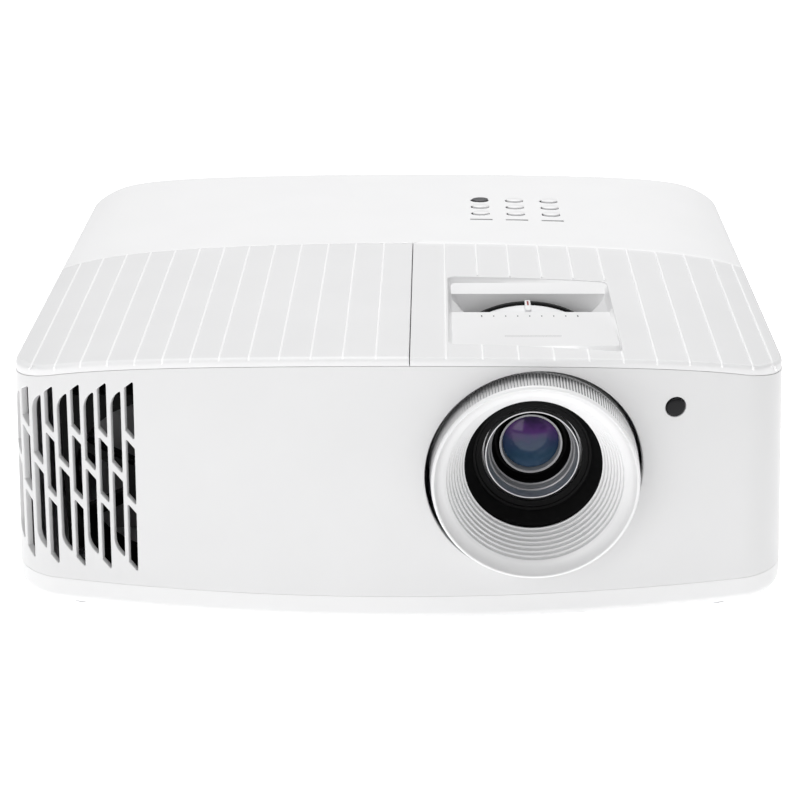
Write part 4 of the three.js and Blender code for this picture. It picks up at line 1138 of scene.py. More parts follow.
    def recess_rows(self) -> list[FlatLine]:
        """The edge of the recess with its rows, and the creases inside it.

        Returns:
            Closed and open lines.
        """
        corners = [
            (self.left, self.label_front),
            (self.right, self.label_front),
            (self.right, self.shelf_rear),
            (self.left, self.shelf_rear),
        ]
        rows = [
            FlatLine(rounded_polygon(corners, self.recess_corner, grow, 2.0))
            for grow in (0.85, 0.5, 0.25, 0.06, 0.0, -0.65, -self.recess_run, -1.8)
        ]
        left, right = self.left + self.funnel_side, self.right - self.funnel_side
        rear = self.slot_rear - self.funnel_rear
        for x in (self.left + self.recess_run, self.right - self.recess_run):
            inward = left if x < self.middle else right
            rows.append(FlatLine(np.array([(x, self.slot_front), (inward, self.slot_front)]), False))
            after = self.slot_front + 0.2
            rows.append(FlatLine(np.array([(x, after), (inward, after)]), False))
            rows.append(FlatLine(np.array([(x, self.slot_rear), (inward, rear)]), False))
        x = np.linspace(self.left + self.recess_run, self.right - self.recess_run, 30)
        rows.append(FlatLine(np.stack([x, np.full_like(x, self.slot_rear)], axis=1), False))
        mouth = [(left, self.slot_front), (right, self.slot_front), (right, rear), (left, rear)]
        rows.append(FlatLine(np.array(mouth)))
        return rows

    def top_cover(self) -> Shape:
        """Top cover: everything beyond the seam, as one height field with openings.

        Returns:
            The closed cover with its raised lines.
        """
        case = self.case
        lines = self.rim_rows() + self.seam_rows(1) + self.recess_rows()
        ovals, slots, circle = [], [], ring_of(40)
        for low, high in self.keys.values():
            centre, half = (low + high)[:2] / 2 - self.key_shift, (high - low)[:2] / 2 + self.key_gap
            ovals.append((centre, half))
            lines += [FlatLine(centre + circle * (half + s * self.key_edge)) for s in FILLET_ROWS]
        for low, high in self.bars.values():
            low, high = low[:2] - case.gap * 0.3, high[:2] + case.gap * 0.3
            slots.append((low, high))
            lines.append(FlatLine(np.array([low, (high[0], low[1]), high, (low[0], high[1])])))
        x = np.arange(self.seam + 1, case.half, 2.5)
        for move in (-0.3, 0.0, 0.35):
            lines.append(FlatLine(np.stack([x, self.border(x) + move], axis=1), False))
        fill = spread((-case.half, case.front), (case.half, case.rear), self.fill_step)
        hole_low = np.array([self.left + self.funnel_side, self.slot_front])
        hole_high = np.array([self.right - self.funnel_side, self.slot_rear - self.funnel_rear])

        def keep(p: Array) -> Array:
            """Whether points belong to the top cover.

            Args:
                p: domain points, as an array (n, 2).

            Returns:
                Array of n truth values.
            """
            in_lamp = (p[:, 0] < self.seam + case.gap) & (p[:, 1] < self.border(p[:, 0]) + case.gap)
            keep_it = ~in_lamp & ~np.all((p > hole_low) & (p < hole_high), axis=1)
            for centre, half in ovals:
                keep_it &= np.sum(((p - centre) / half) ** 2, axis=1) > 1
            for low, high in slots:
                keep_it &= ~np.all((p > low) & (p < high), axis=1)
            return keep_it & inside_line(p, self.rim)

        def outer(p: Array, depth: Array) -> Array:
            """Top surface, lowered by the greatest rounded edge and blended into the recess.

            Args:
                p: domain points, as an array (n, 2).
                depth: depth of each point, from the lines; not used here.

            Returns:
                Array (n, 3).
            """
            x, y = p.T
            beyond = np.hypot(
                np.maximum(x - self.seam - case.gap, 0), np.maximum(y - self.border(x) - case.gap, 0)
            )
            drops = [
                round_over(distance_to(p, self.rim), self.edge),
                round_over(beyond, self.seam_edge),
                self.zone_step * np.clip((self.border(x) + 0.3 - y) / 0.6, 0, 1) * (x > self.seam),
            ]
            for centre, half in ovals:
                share = np.sqrt(np.sum(((p - centre) / half) ** 2, axis=1))
                away = np.linalg.norm(p - centre, axis=1) * (1 - 1 / np.maximum(share, 1e-3))
                drops.append(np.where(share > 0.99, round_over(away, self.key_edge), 0))
            height = case.top(x, y) - np.maximum.reduce(drops)
            signed = self.recess_distance(p)
            near = height - round_over(np.maximum(signed, 0), self.recess_edge)
            share = np.clip(-signed / self.recess_run, 0, 1)
            within = near * (1 - share) + self.recess_floor(x, y) * share
            return np.stack([x, y, np.where(signed >= 0, near, within)], axis=1)

        def inner(p: Array, depth: Array) -> Array:
            """Lower edge of the cover, carried down under the recess.

            Args:
                p: domain points, as an array (n, 2).
                depth: depth of each point, from the lines; not used here.

            Returns:
                Array (n, 3).
            """
            x, y = p.T
            height = case.under(x, y)
            share = np.clip(1 + (0.2 - self.recess_distance(p)) / 0.8, 0, 1)
            recessed = np.minimum(self.recess_floor(x, y) - self.plate, height)
            return np.stack([x, y, height * (1 - share) + recessed * share], axis=1)

        fill = clear_of(fill, lines, self.line_room)
        sheet = thick_sheet(lines, fill, keep, outer, inner)
        middle = sheet.middles()
        rear = middle[:, 1] > self.border(middle[:, 0]) + 0.05
        label = (self.recess_distance(middle) < 0) & (middle[:, 1] < self.slot_front + 0.05)
        # Index 4 paints the rounded edge and skirt lighter, a painted highlight.
        sheet.paint = np.select([rear, self.on_lip_highlight(sheet), label], [2, 4, 3], 0)
        return sheet + self.ridges(self.line_places(1))

    def key_gap_shadow_rings(self) -> Shape:
        """Black rings in the gaps round the keys, a little below the surface and moved to the front left:
        painted shadow in the gaps.

        Returns:
            Nine closed rings.
        """
        rings = []
        for low, high in self.keys.values():
            centre, half = (low + high)[:2] / 2, (high - low)[:2] / 2
            angle = np.linspace(0, FULL_TURN, 56, endpoint=False)[:, None]
            grow = np.array([0.06, 0.7, 0.7, 0.06])
            x = centre[0] + (half[0] + grow) * np.cos(angle) - self.key_shift * (grow > 0.3)
            y = centre[1] + (half[1] + grow) * np.sin(angle) - self.key_shift * (grow > 0.3)
            z = np.broadcast_to(high[2] - self.shadow_ring_drop - np.array([0, 0, 0.4, 0.4]), x.shape)
            rings.append(grid_shape(np.stack([x, y, z], axis=-1), wrap_u=True, wrap_v=True))
        return joined(rings)

    def print_marks(self) -> Shape:
        """Scale ticks before the slot and a thin line on the label plate, as raised ink.

        Returns:
            The closed marks.
        """
        marks = []
        for i in range(-4, 5):
            long = 1.3 if abs(i) == 4 else 0.8
            middle = self.slot_front - 6.2
            marks.append((i * 4.9, 0.24, middle - long, middle + long))
        marks.append((0.0, 11.2, self.slot_front - 36.0, self.slot_front - 35.7))
        prints = []
        for x, half, front, rear in marks:
            y = np.array([front, rear])
            z = self.recess_floor(np.full(2, self.middle), y)
            ink = block((self.middle + x - half, front, -0.2), (self.middle + x + half, rear, 0.04))
            share = (ink.points[:, 1] - front) / (rear - front)
            ink.points[:, 2] += z[0] + (z[1] - z[0]) * share
            prints.append(ink)
        return joined(prints)

    def build(self) -> None:
        """Makes the two covers and the print on the label plate."""
        lamp, lamp_paints = self.lamp_cover(), [COVER, RIDGE_PAINTED_HIGHLIGHT, LIP_PAINTED_HIGHLIGHT]
        add_piece("lamp_cover_shell", lamp, lamp_paints, "lamp_cover", ["lamp_cover"], "cover_white")
        top, top_paints = self.top_cover(), [COVER, RIDGE_PAINTED_HIGHLIGHT, COVER_REAR, KEY, LIP_PAINTED_HIGHLIGHT]
        add_piece("top_cover_shell", top, top_paints, "case", ["top_cover"], "cover_white")
        add_piece("zoom_scale_marks", self.print_marks(), [PRINT], "case", [], "key_grey")
        # Black rings in the key gaps: painted shadow.
        add_piece("key_gap_shadow_rings", self.key_gap_shadow_rings(), [BLACK], "case", [], "black_plastic")


@dataclass
class Walls:
    """Middle case with the grille, the lens opening, the intake and the rear openings."""

    case: Case
    edge: float = 0.3
    rim_edge: float = 0.15
    grille_start: float = 55.4
    grille_groups: int = 5
    grille_pitch: float = 11.0
    grille_drop: float = 8.3
    grille_bottom: float = 20.4
    grille_lean: float = 0.028
    right_slot: float = 3.6
    left_slot: float = 4.15
    rib: float = 1.6
    tip_slope: float = 0.82
    bar_slope: float = 1.15
    bar_height: float = 3.5
    right_bars: tuple[float, ...] = (0.281, 0.566)
    left_bars: tuple[float, ...] = (0.356,)
    slot_corner: float = 0.4
    tip_corner: float = 8.5
    lens_gap: float = 2.05
    seam: float = 0.06
    intake_count: int = 9
    intake_pitch: float = 8.0
    intake_half: float = 2.0
    intake_levels: tuple[float, float] = (19.0, 78.0)
    intake_slant: float = 5.0
    bend_before: float = 6.0
    panel_lap: float = 3.0

    def __post_init__(self) -> None:
        """Measures the outline along its length and reads the places of the openings."""
        plan = self.case.outline(0, density=6)
        closed = np.vstack([plan, plan[:1]])
        steps = np.linalg.norm(np.diff(closed, axis=0), axis=1)
        self.along = np.concatenate([[0], np.cumsum(steps)])
        self.plan = closed
        self.length = float(self.along[-1])
        tangent = np.gradient(closed, self.along, axis=0)
        tangent[0] = tangent[-1] = (1, 0)
        tangent /= np.linalg.norm(tangent, axis=1, keepdims=True)
        self.normal = np.stack([tangent[:, 1], -tangent[:, 0]], axis=1)
        self.low = self.case.base_top + self.seam
        ring_low, ring_high = node_box("focus_ring")
        self.lens = (ring_low + ring_high)[[0, 2]] / 2
        self.lens_radius = float(ring_high[0] - ring_low[0]) / 2 + self.lens_gap

    def at(self, s: Array) -> tuple[Array, Array]:
        """Point and outward normal of the outline at length s.

        Args:
            s: lengths along the outline.

        Returns:
            Points and normals, each an array (n, 2).
        """
        point = np.stack([np.interp(s, self.along, self.plan[:, k]) for k in (0, 1)], axis=1)
        normal = np.stack([np.interp(s, self.along, self.normal[:, k]) for k in (0, 1)], axis=1)
        return point, normal

    def height(self, s: Array) -> Array:
        """Upper edge of the wall: the top surface minus the cover and the gap.

        Args:
            s: lengths along the outline.

        Returns:
            Heights.
        """
        point, _ = self.at(s)
        x = point[:, 0]
        for _ in range(3):
            x = point[:, 0] * self.case.narrowing(self.case.top(x, point[:, 1]))
        return self.case.under(x, point[:, 1]) - 0.5 * self.case.gap

    def front_length(self, x: Array, z: Array) -> Array:
        """Length along the outline of a front place; past the bend it goes on in a straight line.

        Args:
            x: places across.
            z: levels.

        Returns:
            Lengths.
        """
        wide = np.abs(x) / self.case.narrowing(z)
        quarter = int(np.argmax(self.plan[:, 0] >= self.case.half - 0.01)) + 1
        xs, ss = self.plan[:quarter, 0], self.along[:quarter]
        bend = self.case.half - self.bend_before
        s = np.interp(np.minimum(wide, bend), xs, ss)
        slope = (np.interp(bend, xs, ss) - np.interp(bend - 0.5, xs, ss)) / 0.5
        s = s + slope * np.maximum(wide - bend, 0)
        return np.where(x >= 0, s, self.length - s)

    def rear_length(self, x: Array, z: Array) -> Array:
        """Length along the outline of a rear place.

        Args:
            x: places across.
            z: levels.

        Returns:
            Lengths.
        """
        behind = (self.plan[:, 1] > 0) & (np.abs(self.plan[:, 0]) < self.case.half - self.case.corner)
        xs, ss = self.plan[behind, 0][::-1], self.along[behind][::-1]
        return np.interp(x / self.case.narrowing(z), xs, ss)

    def side_length(self, y: Array) -> Array:
        """Length along the outline of a place on the right-hand side.

        Args:
            y: places along.

        Returns:
            Lengths.
        """
        on_side = (self.plan[:, 0] > self.case.half - 0.01) & (np.abs(self.plan[:, 1]) < 100)
        return np.interp(y, self.plan[on_side, 1], self.along[on_side])

    def grille(self) -> list[tuple[Array, list[float]]]:
        """Corners (x, z) and corner radii of every grille slot, column by column.

        Each group is a narrow and a wide column, cut by slanting bars at shares of the height.

        Returns:
            One pair per slot.
        """
        slots = []
        for group in range(self.grille_groups):
            right = self.grille_start - self.case.half - group * self.grille_pitch
            top = float(self.case.top(right, self.case.front_at(right))) - self.grille_drop
            start = self.right_slot + self.rib
            columns = (
                (0.0, self.right_slot, self.right_bars),
                (start, start + self.left_slot, self.left_bars),
            )
            for near, far, bars in columns:
                levels = [(self.bar_slope, self.grille_bottom)]
                for share in bars:
                    middle = self.grille_bottom + share * (self.case.top_height - self.grille_bottom)
                    levels.append((self.bar_slope, middle - self.bar_height / 2))
                    levels.append((self.bar_slope, middle + self.bar_height / 2))
                levels.append((-self.tip_slope, top))
                for low, high in zip(levels[::2], levels[1::2]):
                    radii = [self.slot_corner] * 4
                    if near > 0:
                        radii[0] = self.tip_corner if low is levels[0] else self.slot_corner
                        radii[3] = self.tip_corner if high is levels[-1] else self.slot_corner
                    corners = [
                        (far, low[1] + low[0] * far),
                        (near, low[1] + low[0] * near),
                        (near, high[1] + high[0] * near),
                        (far, high[1] + high[0] * far),
                    ]
                    leaning = [(right - o + self.grille_lean * (z - top), z) for o, z in corners]
                    slots.append((np.array(leaning), radii))
        return slots

    def openings(self) -> list[list[Array]]:
        """Every opening as a list of lines on the unrolled wall, from its edge outwards.

        Returns:
            One list of lines per opening.
        """
        rows = [share * self.edge for share in FILLET_ROWS]
        front = self.front_length

        def unroll(line: Array, length: Surface) -> Array:
            """The line with its first coordinate turned into a length along the outline."""
            return np.stack([length(line[:, 0], line[:, 1]), line[:, 1]], axis=1)

        found = []
        for corners, radii in self.grille():
            found.append([unroll(rounded_polygon(corners, radii, grow), front) for grow in rows])
        circle = ring_of(120)
        found.append([unroll(self.lens + circle * (self.lens_radius + grow), front) for grow in rows])
        window_low, window_high = node_box("ir_window")
        centre = (window_low + window_high)[[0, 2]] / 2
        radius = float(window_high[2] - window_low[2]) / 2 + self.case.gap
        small = circle[::3]
        found.append([unroll(centre + small * (radius + grow), front) for grow in rows])
        fan = node_box("intake_fan_rotor")
        fan_y = float(fan[0][1] + fan[1][1]) / 2
        (bottom, top), slant = self.intake_levels, self.intake_slant
        for i in range(self.intake_count):
            y = fan_y + (i - (self.intake_count - 1) / 2) * self.intake_pitch
            near, far = y - self.intake_half, y + self.intake_half
            corners = [(near, bottom), (far, bottom + slant), (far, top), (near, top - slant)]
            lines = [rounded_polygon(corners, 1.2, grow, 3.0) for grow in rows]
            found.append([np.stack([self.side_length(p[:, 0]), p[:, 1]], axis=1) for p in lines])
        for node, grow_by in (("io_panel", -self.panel_lap), ("ac_inlet", self.case.gap)):
            low, high = node_box(node)
            low, high = low[[0, 2]] - grow_by, high[[0, 2]] + grow_by
            corners = [low, (high[0], low[1]), high, (low[0], high[1])]
            lines = [rounded_polygon(corners, 0.8, grow, 3.0) for grow in rows]
            found.append([unroll(p, self.rear_length) for p in lines])
        return found

    def shell(self) -> Shape:
        """The whole wall as one thick sheet around the outline.

        Returns:
            The closed wall.
        """
        case, openings = self.case, self.openings()
        lines, depths = [], [round_over(np.array(s * self.edge), self.edge) for s in FILLET_ROWS]
        for rings in openings:
            lines += [FlatLine(p, depth=float(d)) for p, d in zip(rings, depths)]
        s = np.linspace(0, self.length, 441)
        for share in FILLET_ROWS:
            move = share * self.rim_edge
            lines.append(FlatLine(np.stack([s, np.full_like(s, self.low + move)], axis=1), False))
            lines.append(FlatLine(np.stack([s, self.height(s) - move], axis=1), False))
        z = np.linspace(self.low, float(self.height(np.zeros(1))[0]), 34)
        for end in (0.0, self.length):
            lines.append(FlatLine(np.stack([np.full_like(z, end), z], axis=1), False))
        fill = spread((1.0, self.low), (self.length - 1.0, case.top_height), 2.8)

        def keep(p: Array) -> Array:
            """Whether points belong to the wall.

            Args:
                p: domain points, as an array (n, 2).

            Returns:
                Array of n truth values.
            """
            good = (p[:, 1] > self.low) & (p[:, 1] < self.height(p[:, 0]))
            for rings in openings:
                edge = rings[0]
                near = np.all((p > edge.min(axis=0)) & (p < edge.max(axis=0)), axis=1)
                index = np.flatnonzero(near)
                if len(index):
                    good[index[inside_line(p[index], edge)]] = False
            return good

        def face(p: Array, inward: Array) -> Array:
            """The outline moved inwards, narrowed by the lean of the sides.

            Args:
                p: length along the outline and level of each point.
                inward: how far each point lies inwards.

            Returns:
                Array (n, 3).
            """
            point, normal = self.at(p[:, 0])
            point = point - normal * inward[:, None]
            x = point[:, 0] * case.narrowing(p[:, 1])
            return np.stack([x, point[:, 1], p[:, 1]], axis=1)

        def outer(p: Array, depth: Array) -> Array:
            """Outer face with its rounded edges.

            Args:
                p: domain points, as an array (n, 2).
                depth: how far each point lies inwards at an opening.

            Returns:
                Array (n, 3).
            """
            low_edge = round_over(p[:, 1] - self.low, self.rim_edge)
            high_edge = round_over(self.height(p[:, 0]) - p[:, 1], self.rim_edge)
            return face(p, np.maximum.reduce([depth, low_edge, high_edge]))

        def inner(p: Array, depth: Array) -> Array:
            """Inner face, one wall further in."""
            return face(p, np.full(len(p), case.wall))

        return thick_sheet(lines, clear_of(fill, lines, 1.0), keep, outer, inner, self.length)

    def build(self) -> None:
        """Makes the middle case."""
        add_piece("middle_case_shell", self.shell(), [CASING], "case", ["middle_case"], "casing_white")


@dataclass
class Base:
    """Shallow lower shell with a rounded edge, foot pockets and screw points."""

    case: Case
    edge: float = 0.35
    foot_gap: float = 0.7
    screw_hole: float = 2.0
    screw_aside: float = 4.0
    rim_wall: float = 2.65
    rim_draft: float = 0.15
    tongue: float = 0.05

    def shell(self) -> Shape:
        """One thick sheet over the plan: the underside as outer face, the floor as inner face.

        Returns:
            The closed base.
        """
        case = self.case
        turn = np.radians([0, 8, 18, 30, 42, 54, 66, 78, 90])
        insets = list(case.base_edge * (1 - np.cos(turn))) + [0.1, 0.16, 2.5, 2.65, 9.0]
        lines = [FlatLine(case.outline(float(d))) for d in sorted(set(np.round(insets, 3)))]
        circles = []
        for node in ("front_left_foot_pad", "front_right_foot_pad", "rear_foot_pad"):
            low, high = node_box(node)
            circles.append(((low + high)[:2] / 2, float(high[0] - low[0]) / 2 + self.foot_gap))
        for mount in frame["record"].get("mounts", []):
            if mount["name"].startswith("ceiling_mount"):
                place = np.array(mount["pos_m"][:2]) / MM
                circles.append((place - np.array([self.screw_aside, 0.0]), self.screw_hole))
        ring = ring_of(40)
        for centre, radius in circles:
            lines += [FlatLine(centre + ring * (radius + s * self.edge)) for s in FILLET_ROWS]
        rim = case.outline(0)
        fill = spread((-case.half, case.front), (case.half, case.rear), 6.0)

        def keep(p: Array) -> Array:
            """Whether points belong to the base.

            Args:
                p: domain points, as an array (n, 2).

            Returns:
                Array of n truth values.
            """
            good = inside_line(p, rim)
            for centre, radius in circles:
                good &= np.linalg.norm(p - centre, axis=1) > radius
            return good

        def under(p: Array) -> Array:
            """Height of the underside with its rounded edges.

            Args:
                p: domain points, as an array (n, 2).

            Returns:
                Heights.
            """
            rise = round_over(distance_to(p, rim), case.base_edge)
            for centre, radius in circles:
                away = np.linalg.norm(p - centre, axis=1) - radius
                rise = np.maximum(rise, round_over(np.maximum(away, 0), self.edge))
            return case.base_bottom + rise

        def outer(p: Array, depth: Array) -> Array:
            """The underside."""
            return np.stack([p[:, 0], p[:, 1], under(p)], axis=1)

        def inner(p: Array, depth: Array) -> Array:
            """The floor inside and the top of the rim, with a small tongue.

            Args:
                p: domain points, as an array (n, 2).
                depth: depth of each point, from the lines; not used here.

            Returns:
                Array (n, 3).
            """
            away = distance_to(p, rim)
            share = np.clip((self.rim_wall - away) / self.rim_draft, 0, 1)
            rim_top = case.base_top + self.tongue * np.clip((away - 0.1) / 0.06, 0, 1)
            floor = np.maximum(under(p) + case.wall, case.base_bottom + case.wall)
            return np.stack([p[:, 0], p[:, 1], floor * (1 - share) + rim_top * share], axis=1)

        return thick_sheet(lines, clear_of(fill, lines, 1.6), keep, outer, inner)

    def build(self) -> None:
        """Makes the base."""
        add_piece("base_case_shell", self.shell(), [BASE_WHITE], "case", ["base_case"], "casing_white")


@dataclass
class Keypad:
    """Nine oval keys and three light bars."""

    covers: Covers
    dome: float = 0.3

    def key(self, low: Array, high: Array) -> Shape:
        """A key: an oval column with a rounded shoulder and a faintly domed top.

        Args:
            low: lowest corner of the key's box.
            high: highest corner.

        Returns:
            The closed key.
        """
        share = np.array([0, 0.35, 0.7, 0.86, 0.94, 0.985, 1.0, 1.0, 1.0, 0.0])
        top = high[2] - self.dome
        drop = np.array([-1.0, -0.88, -0.5, -0.2, 0.1, 0.45, 0.9, 2.5, 6.0, 6.0])
        height = top - drop * self.dome
        height[-2:] = low[2]
        centre, half = (low + high)[:2] / 2, (high - low)[:2] / 2
        angle = np.linspace(0, FULL_TURN, 56, endpoint=False)[:, None]
        x = centre[0] + half[0] * share * np.cos(angle)
        y = centre[1] + half[1] * share * np.sin(angle)
        return grid_shape(np.stack([x, y, np.broadcast_to(height, x.shape)], axis=-1), wrap_u=True)

    def build(self) -> None:
        """Makes the keys, each on its own body, and the light bars."""
        for name, (low, high) in self.covers.keys.items():
            dark = name == "key_power"
            finish, slot = (KEY_GREY, "key_grey") if dark else (KEY, "key_white")
            add_piece(name + "_cap", self.key(low, high), [finish], name, [name], slot)
        for name, (low, high) in self.covers.bars.items():
            add_piece(name + "_lens", block(low, high, 0.25), [LIGHT_BAR], "case", [name], "light_bar")


# ---------------------------------------------------------------- lens


@dataclass
class Lens:
    """Focus ring, hood, front cell and glass, and the zoom ring."""

    sides: int = 192
    teeth: int = 200
    tooth: float = 0.75
    taper: float = 0.45
    swell: float = 0.25
    grooves: int = 7
    glass_radius: float = 11.4
    glass_bulge: float = 3.0
    black_band: float = 2.4
    pointer_drop: float = 1.2
    sharp: float = 28.0

    def __post_init__(self) -> None:
        """Takes the lens axis and the main radii from the CAD nodes."""
        low, high = node_box("focus_ring")
        self.centre = ((low + high) / 2)[[0, 2]]
        self.radius = float(high[0] - low[0]) / 2
        self.front, self.back = float(low[1]), float(high[1])

    def focus_ring(self) -> Shape:
        """White ring: knurled outside, rounded rim, and a cone with fine steps.

        Returns:
            The closed ring, with the knurl in a material of its own and painted shade on the faces in its
            valleys.
        """
        front, radius = self.front, self.radius
        arc = np.radians([0, 18, 36, 54, 72, 90])
        tip, root = radius - self.taper, radius + self.swell
        rim = np.stack([tip - 1 + np.cos(arc), front + 1 - np.sin(arc)], axis=1).tolist()
        first, last = (34.5, front + 4.6), (27.2, front + 19.0)
        steps = [(39.3, front), (39.0, front + 0.2), (38.4, front + 1.5), (37.4, front + 2.8)]
        steps += [(35.9, front + 3.9), first]
        for i in range(self.grooves):
            a = np.array(first) + (np.array(last) - first) * i / self.grooves
            b = np.array(first) + (np.array(last) - first) * (i + 1) / self.grooves
            ledge = (a[0] - 0.30, b[1] - 0.35)
            steps += [(a[0] - 0.12, a[1] + 0.15), tuple(ledge), (a[0] - 0.42, b[1] - 0.12), tuple(b)]
        outside = [(root - 0.3, self.back), (root - 0.1, self.back - 0.2), (root, front + 14.2)]
        outside += [(root, front + 14.0), (tip + 0.15, front + 1.9), (tip, front + 1.6)]
        behind = [(27.6, front + 20.5), (29.5, front + 22.0), (34.8, front + 22.0), (34.8, self.back)]
        profile = np.array(outside + rim + steps + behind)
        wave = np.zeros(len(profile))
        wave[[3, 4]] = self.tooth

        def ripple(angle: Array) -> Array:
            """Depth of the valleys between the teeth."""
            return -wave * (0.5 + 0.5 * np.cos(self.teeth * angle)) ** 0.7

        steps_per_tooth = 4
        ring = turned(profile, self.centre, self.teeth * steps_per_tooth, ripple=ripple)
        side, row = divmod(np.arange(len(ring.faces)), len(profile))
        # Every fourth face round the knurl is painted dark grey: painted shade in the valleys.
        valley = side % steps_per_tooth == steps_per_tooth - 1
        ring.paint = np.where(row == 3, np.where(valley, 2, 1), 0)
        return ring

    def hood(self) -> Shape:
        """Black cone behind the focus ring with a faint stepped rim near the lens cell.

        Returns:
            The closed cone.
        """
        low, high = node_box("lens_hood")
        outer = float(high[0] - low[0]) / 2
        start, end = float(low[1]), float(high[1])
        corners = [
            (27.4, start),
            (outer, start),
            (outer, start + 1.6),
            (28.5, start + 1.6),
            (28.3, end),
            (20.0, end),
            (20.0, end - 0.9),
            (22.3, end - 1.0),
            (22.6, end - 1.7),
            (23.6, end - 1.8),
            (23.9, end - 2.6),
        ]
        return turned(soften(corners, 0.25), self.centre, self.sides)

    def cell(self) -> Shape:
        """Metal cell: a thin silver lip, a stepped grey funnel and a raised ring round the glass.

        Returns:
            The closed cell in silver, grey and black.
        """
        low, high = node_box("front_lens_cell")
        front, back = float(low[1]), float(high[1])
        outer = float(high[0] - low[0]) / 2
        lip = front + 1.5
        corners = [
            (18.2, lip),
            (18.8, lip),
            (19.0, front + 5.8),
            (outer, front + 5.8),
            (outer, back),
            (11.4, back),
            (11.4, front + 15.4),
            (11.8, front + 13.6),
            (12.9, front + 13.4),
            (13.3, front + 16.0),
            (14.6, front + 16.2),
            (15.6, front + 14.0),
            (15.9, front + 10.2),
            (16.5, front + 9.9),
            (16.8, front + 6.4),
            (17.4, front + 6.1),
        ]
        profile = soften(corners, 0.22)
        shape = turned(profile, self.centre, self.sides)
        corner = (np.arange(len(shape.faces)) % len(profile)) // 4
        silver = np.isin(corner, (0, 1, 2, 15))
        shape.paint = np.where(silver, 0, np.where(np.isin(corner, (8, 9, 10, 11)), 2, 1))
        return shape

    def glass(self, node: str, radius: float, bulge: float) -> Shape:
        """A lens element: two domes, each a parabola over its radius, meeting at a thin edge.

        Args:
            node: CAD node of the element.
            radius: radius of the element.
            bulge: height of the front dome.

        Returns:
            The closed element.
        """
        low, high = node_box(node)
        share = np.linspace(0, 1, 24)
        near = np.stack([radius * share, low[1] + bulge * share**2], axis=1)
        far = np.stack([radius * share[::-1], high[1] - 0.5 * share[::-1] ** 2], axis=1)
        return turned(np.vstack([near, far]), self.centre, 96, closed=False)

    def zoom_ring(self) -> tuple[Shape, Shape]:
        """Black ring with a pale front part, and its white pointer with a small mark.

        Returns:
            The ring and the pointer.
        """
        low, high = node_box("zoom_ring")
        radius = float(high[0] - low[0]) / 2
        front, back = float(low[1]), float(high[1])
        step = back - self.black_band
        pale = radius - 1.1
        corners = [(34.4, front), (pale, front), (pale, step)]
        corners += [(radius, step), (radius, back), (34.4, back)]
        profile = soften(corners, 0.4)
        ring = turned(profile, self.centre, 240)
        column = np.arange(len(ring.faces)) % len(profile)
        ring.paint = np.where(column < 9, 1, 0)
        x, top = float(self.centre[0]), float(high[2])
        level = top - self.pointer_drop
        pointer = block((x - 1.2, front + 3, top - 4.6), (x + 1.2, back, level), 0.35)
        mark = block((x - 0.35, back - 7.0, level - 0.5), (x + 0.35, back - 1.5, level + 0.04)).painted(1)
        return ring, pointer + mark

    def build(self) -> None:
        """Makes every visible piece of the lens."""
        group, sharp = "front_lens_group", self.sharp
        focus, paints = self.focus_ring(), [FOCUS, KNURL, KNURL_VALLEY_PAINTED_SHADE]
        add_piece("focus_ring_knob", focus, paints, "focus_ring", ["focus_ring"], "focus_white", sharp)
        add_piece("lens_hood_cone", self.hood(), [BLACK], "case", ["lens_hood"], "black_plastic", sharp)
        cell, paints = self.cell(), [SILVER, LENS_GREY, BLACK]
        add_piece("front_lens_cell_ring", cell, paints, group, ["front_lens_cell"], "aluminium", sharp)
        painted_reflection = CoatedGlassPaintedReflection(
            "front lens painted reflection",
            (0.03, 0.05, 0.12),
            0.12,
            variation=0.0,
            grain_depth=0.0,
            specular=0.35,
            axis=(float(self.centre[0]) * MM, float(self.centre[1]) * MM),
            radius=self.glass_radius * MM,
        )
        front = self.glass("front_lens", self.glass_radius, self.glass_bulge)
        add_piece("front_lens_glass", front, [painted_reflection], group, ["front_lens"], "optical_glass")
        ring, pointer = self.zoom_ring()
        paints = [SATIN_BLACK, ZOOM_GREY]
        add_piece("zoom_ring_knob", ring, paints, "zoom_ring", ["zoom_ring"], "black_plastic", sharp)
        add_piece("zoom_pointer", pointer, [KEY, POINTER], "zoom_ring", [], "key_white")


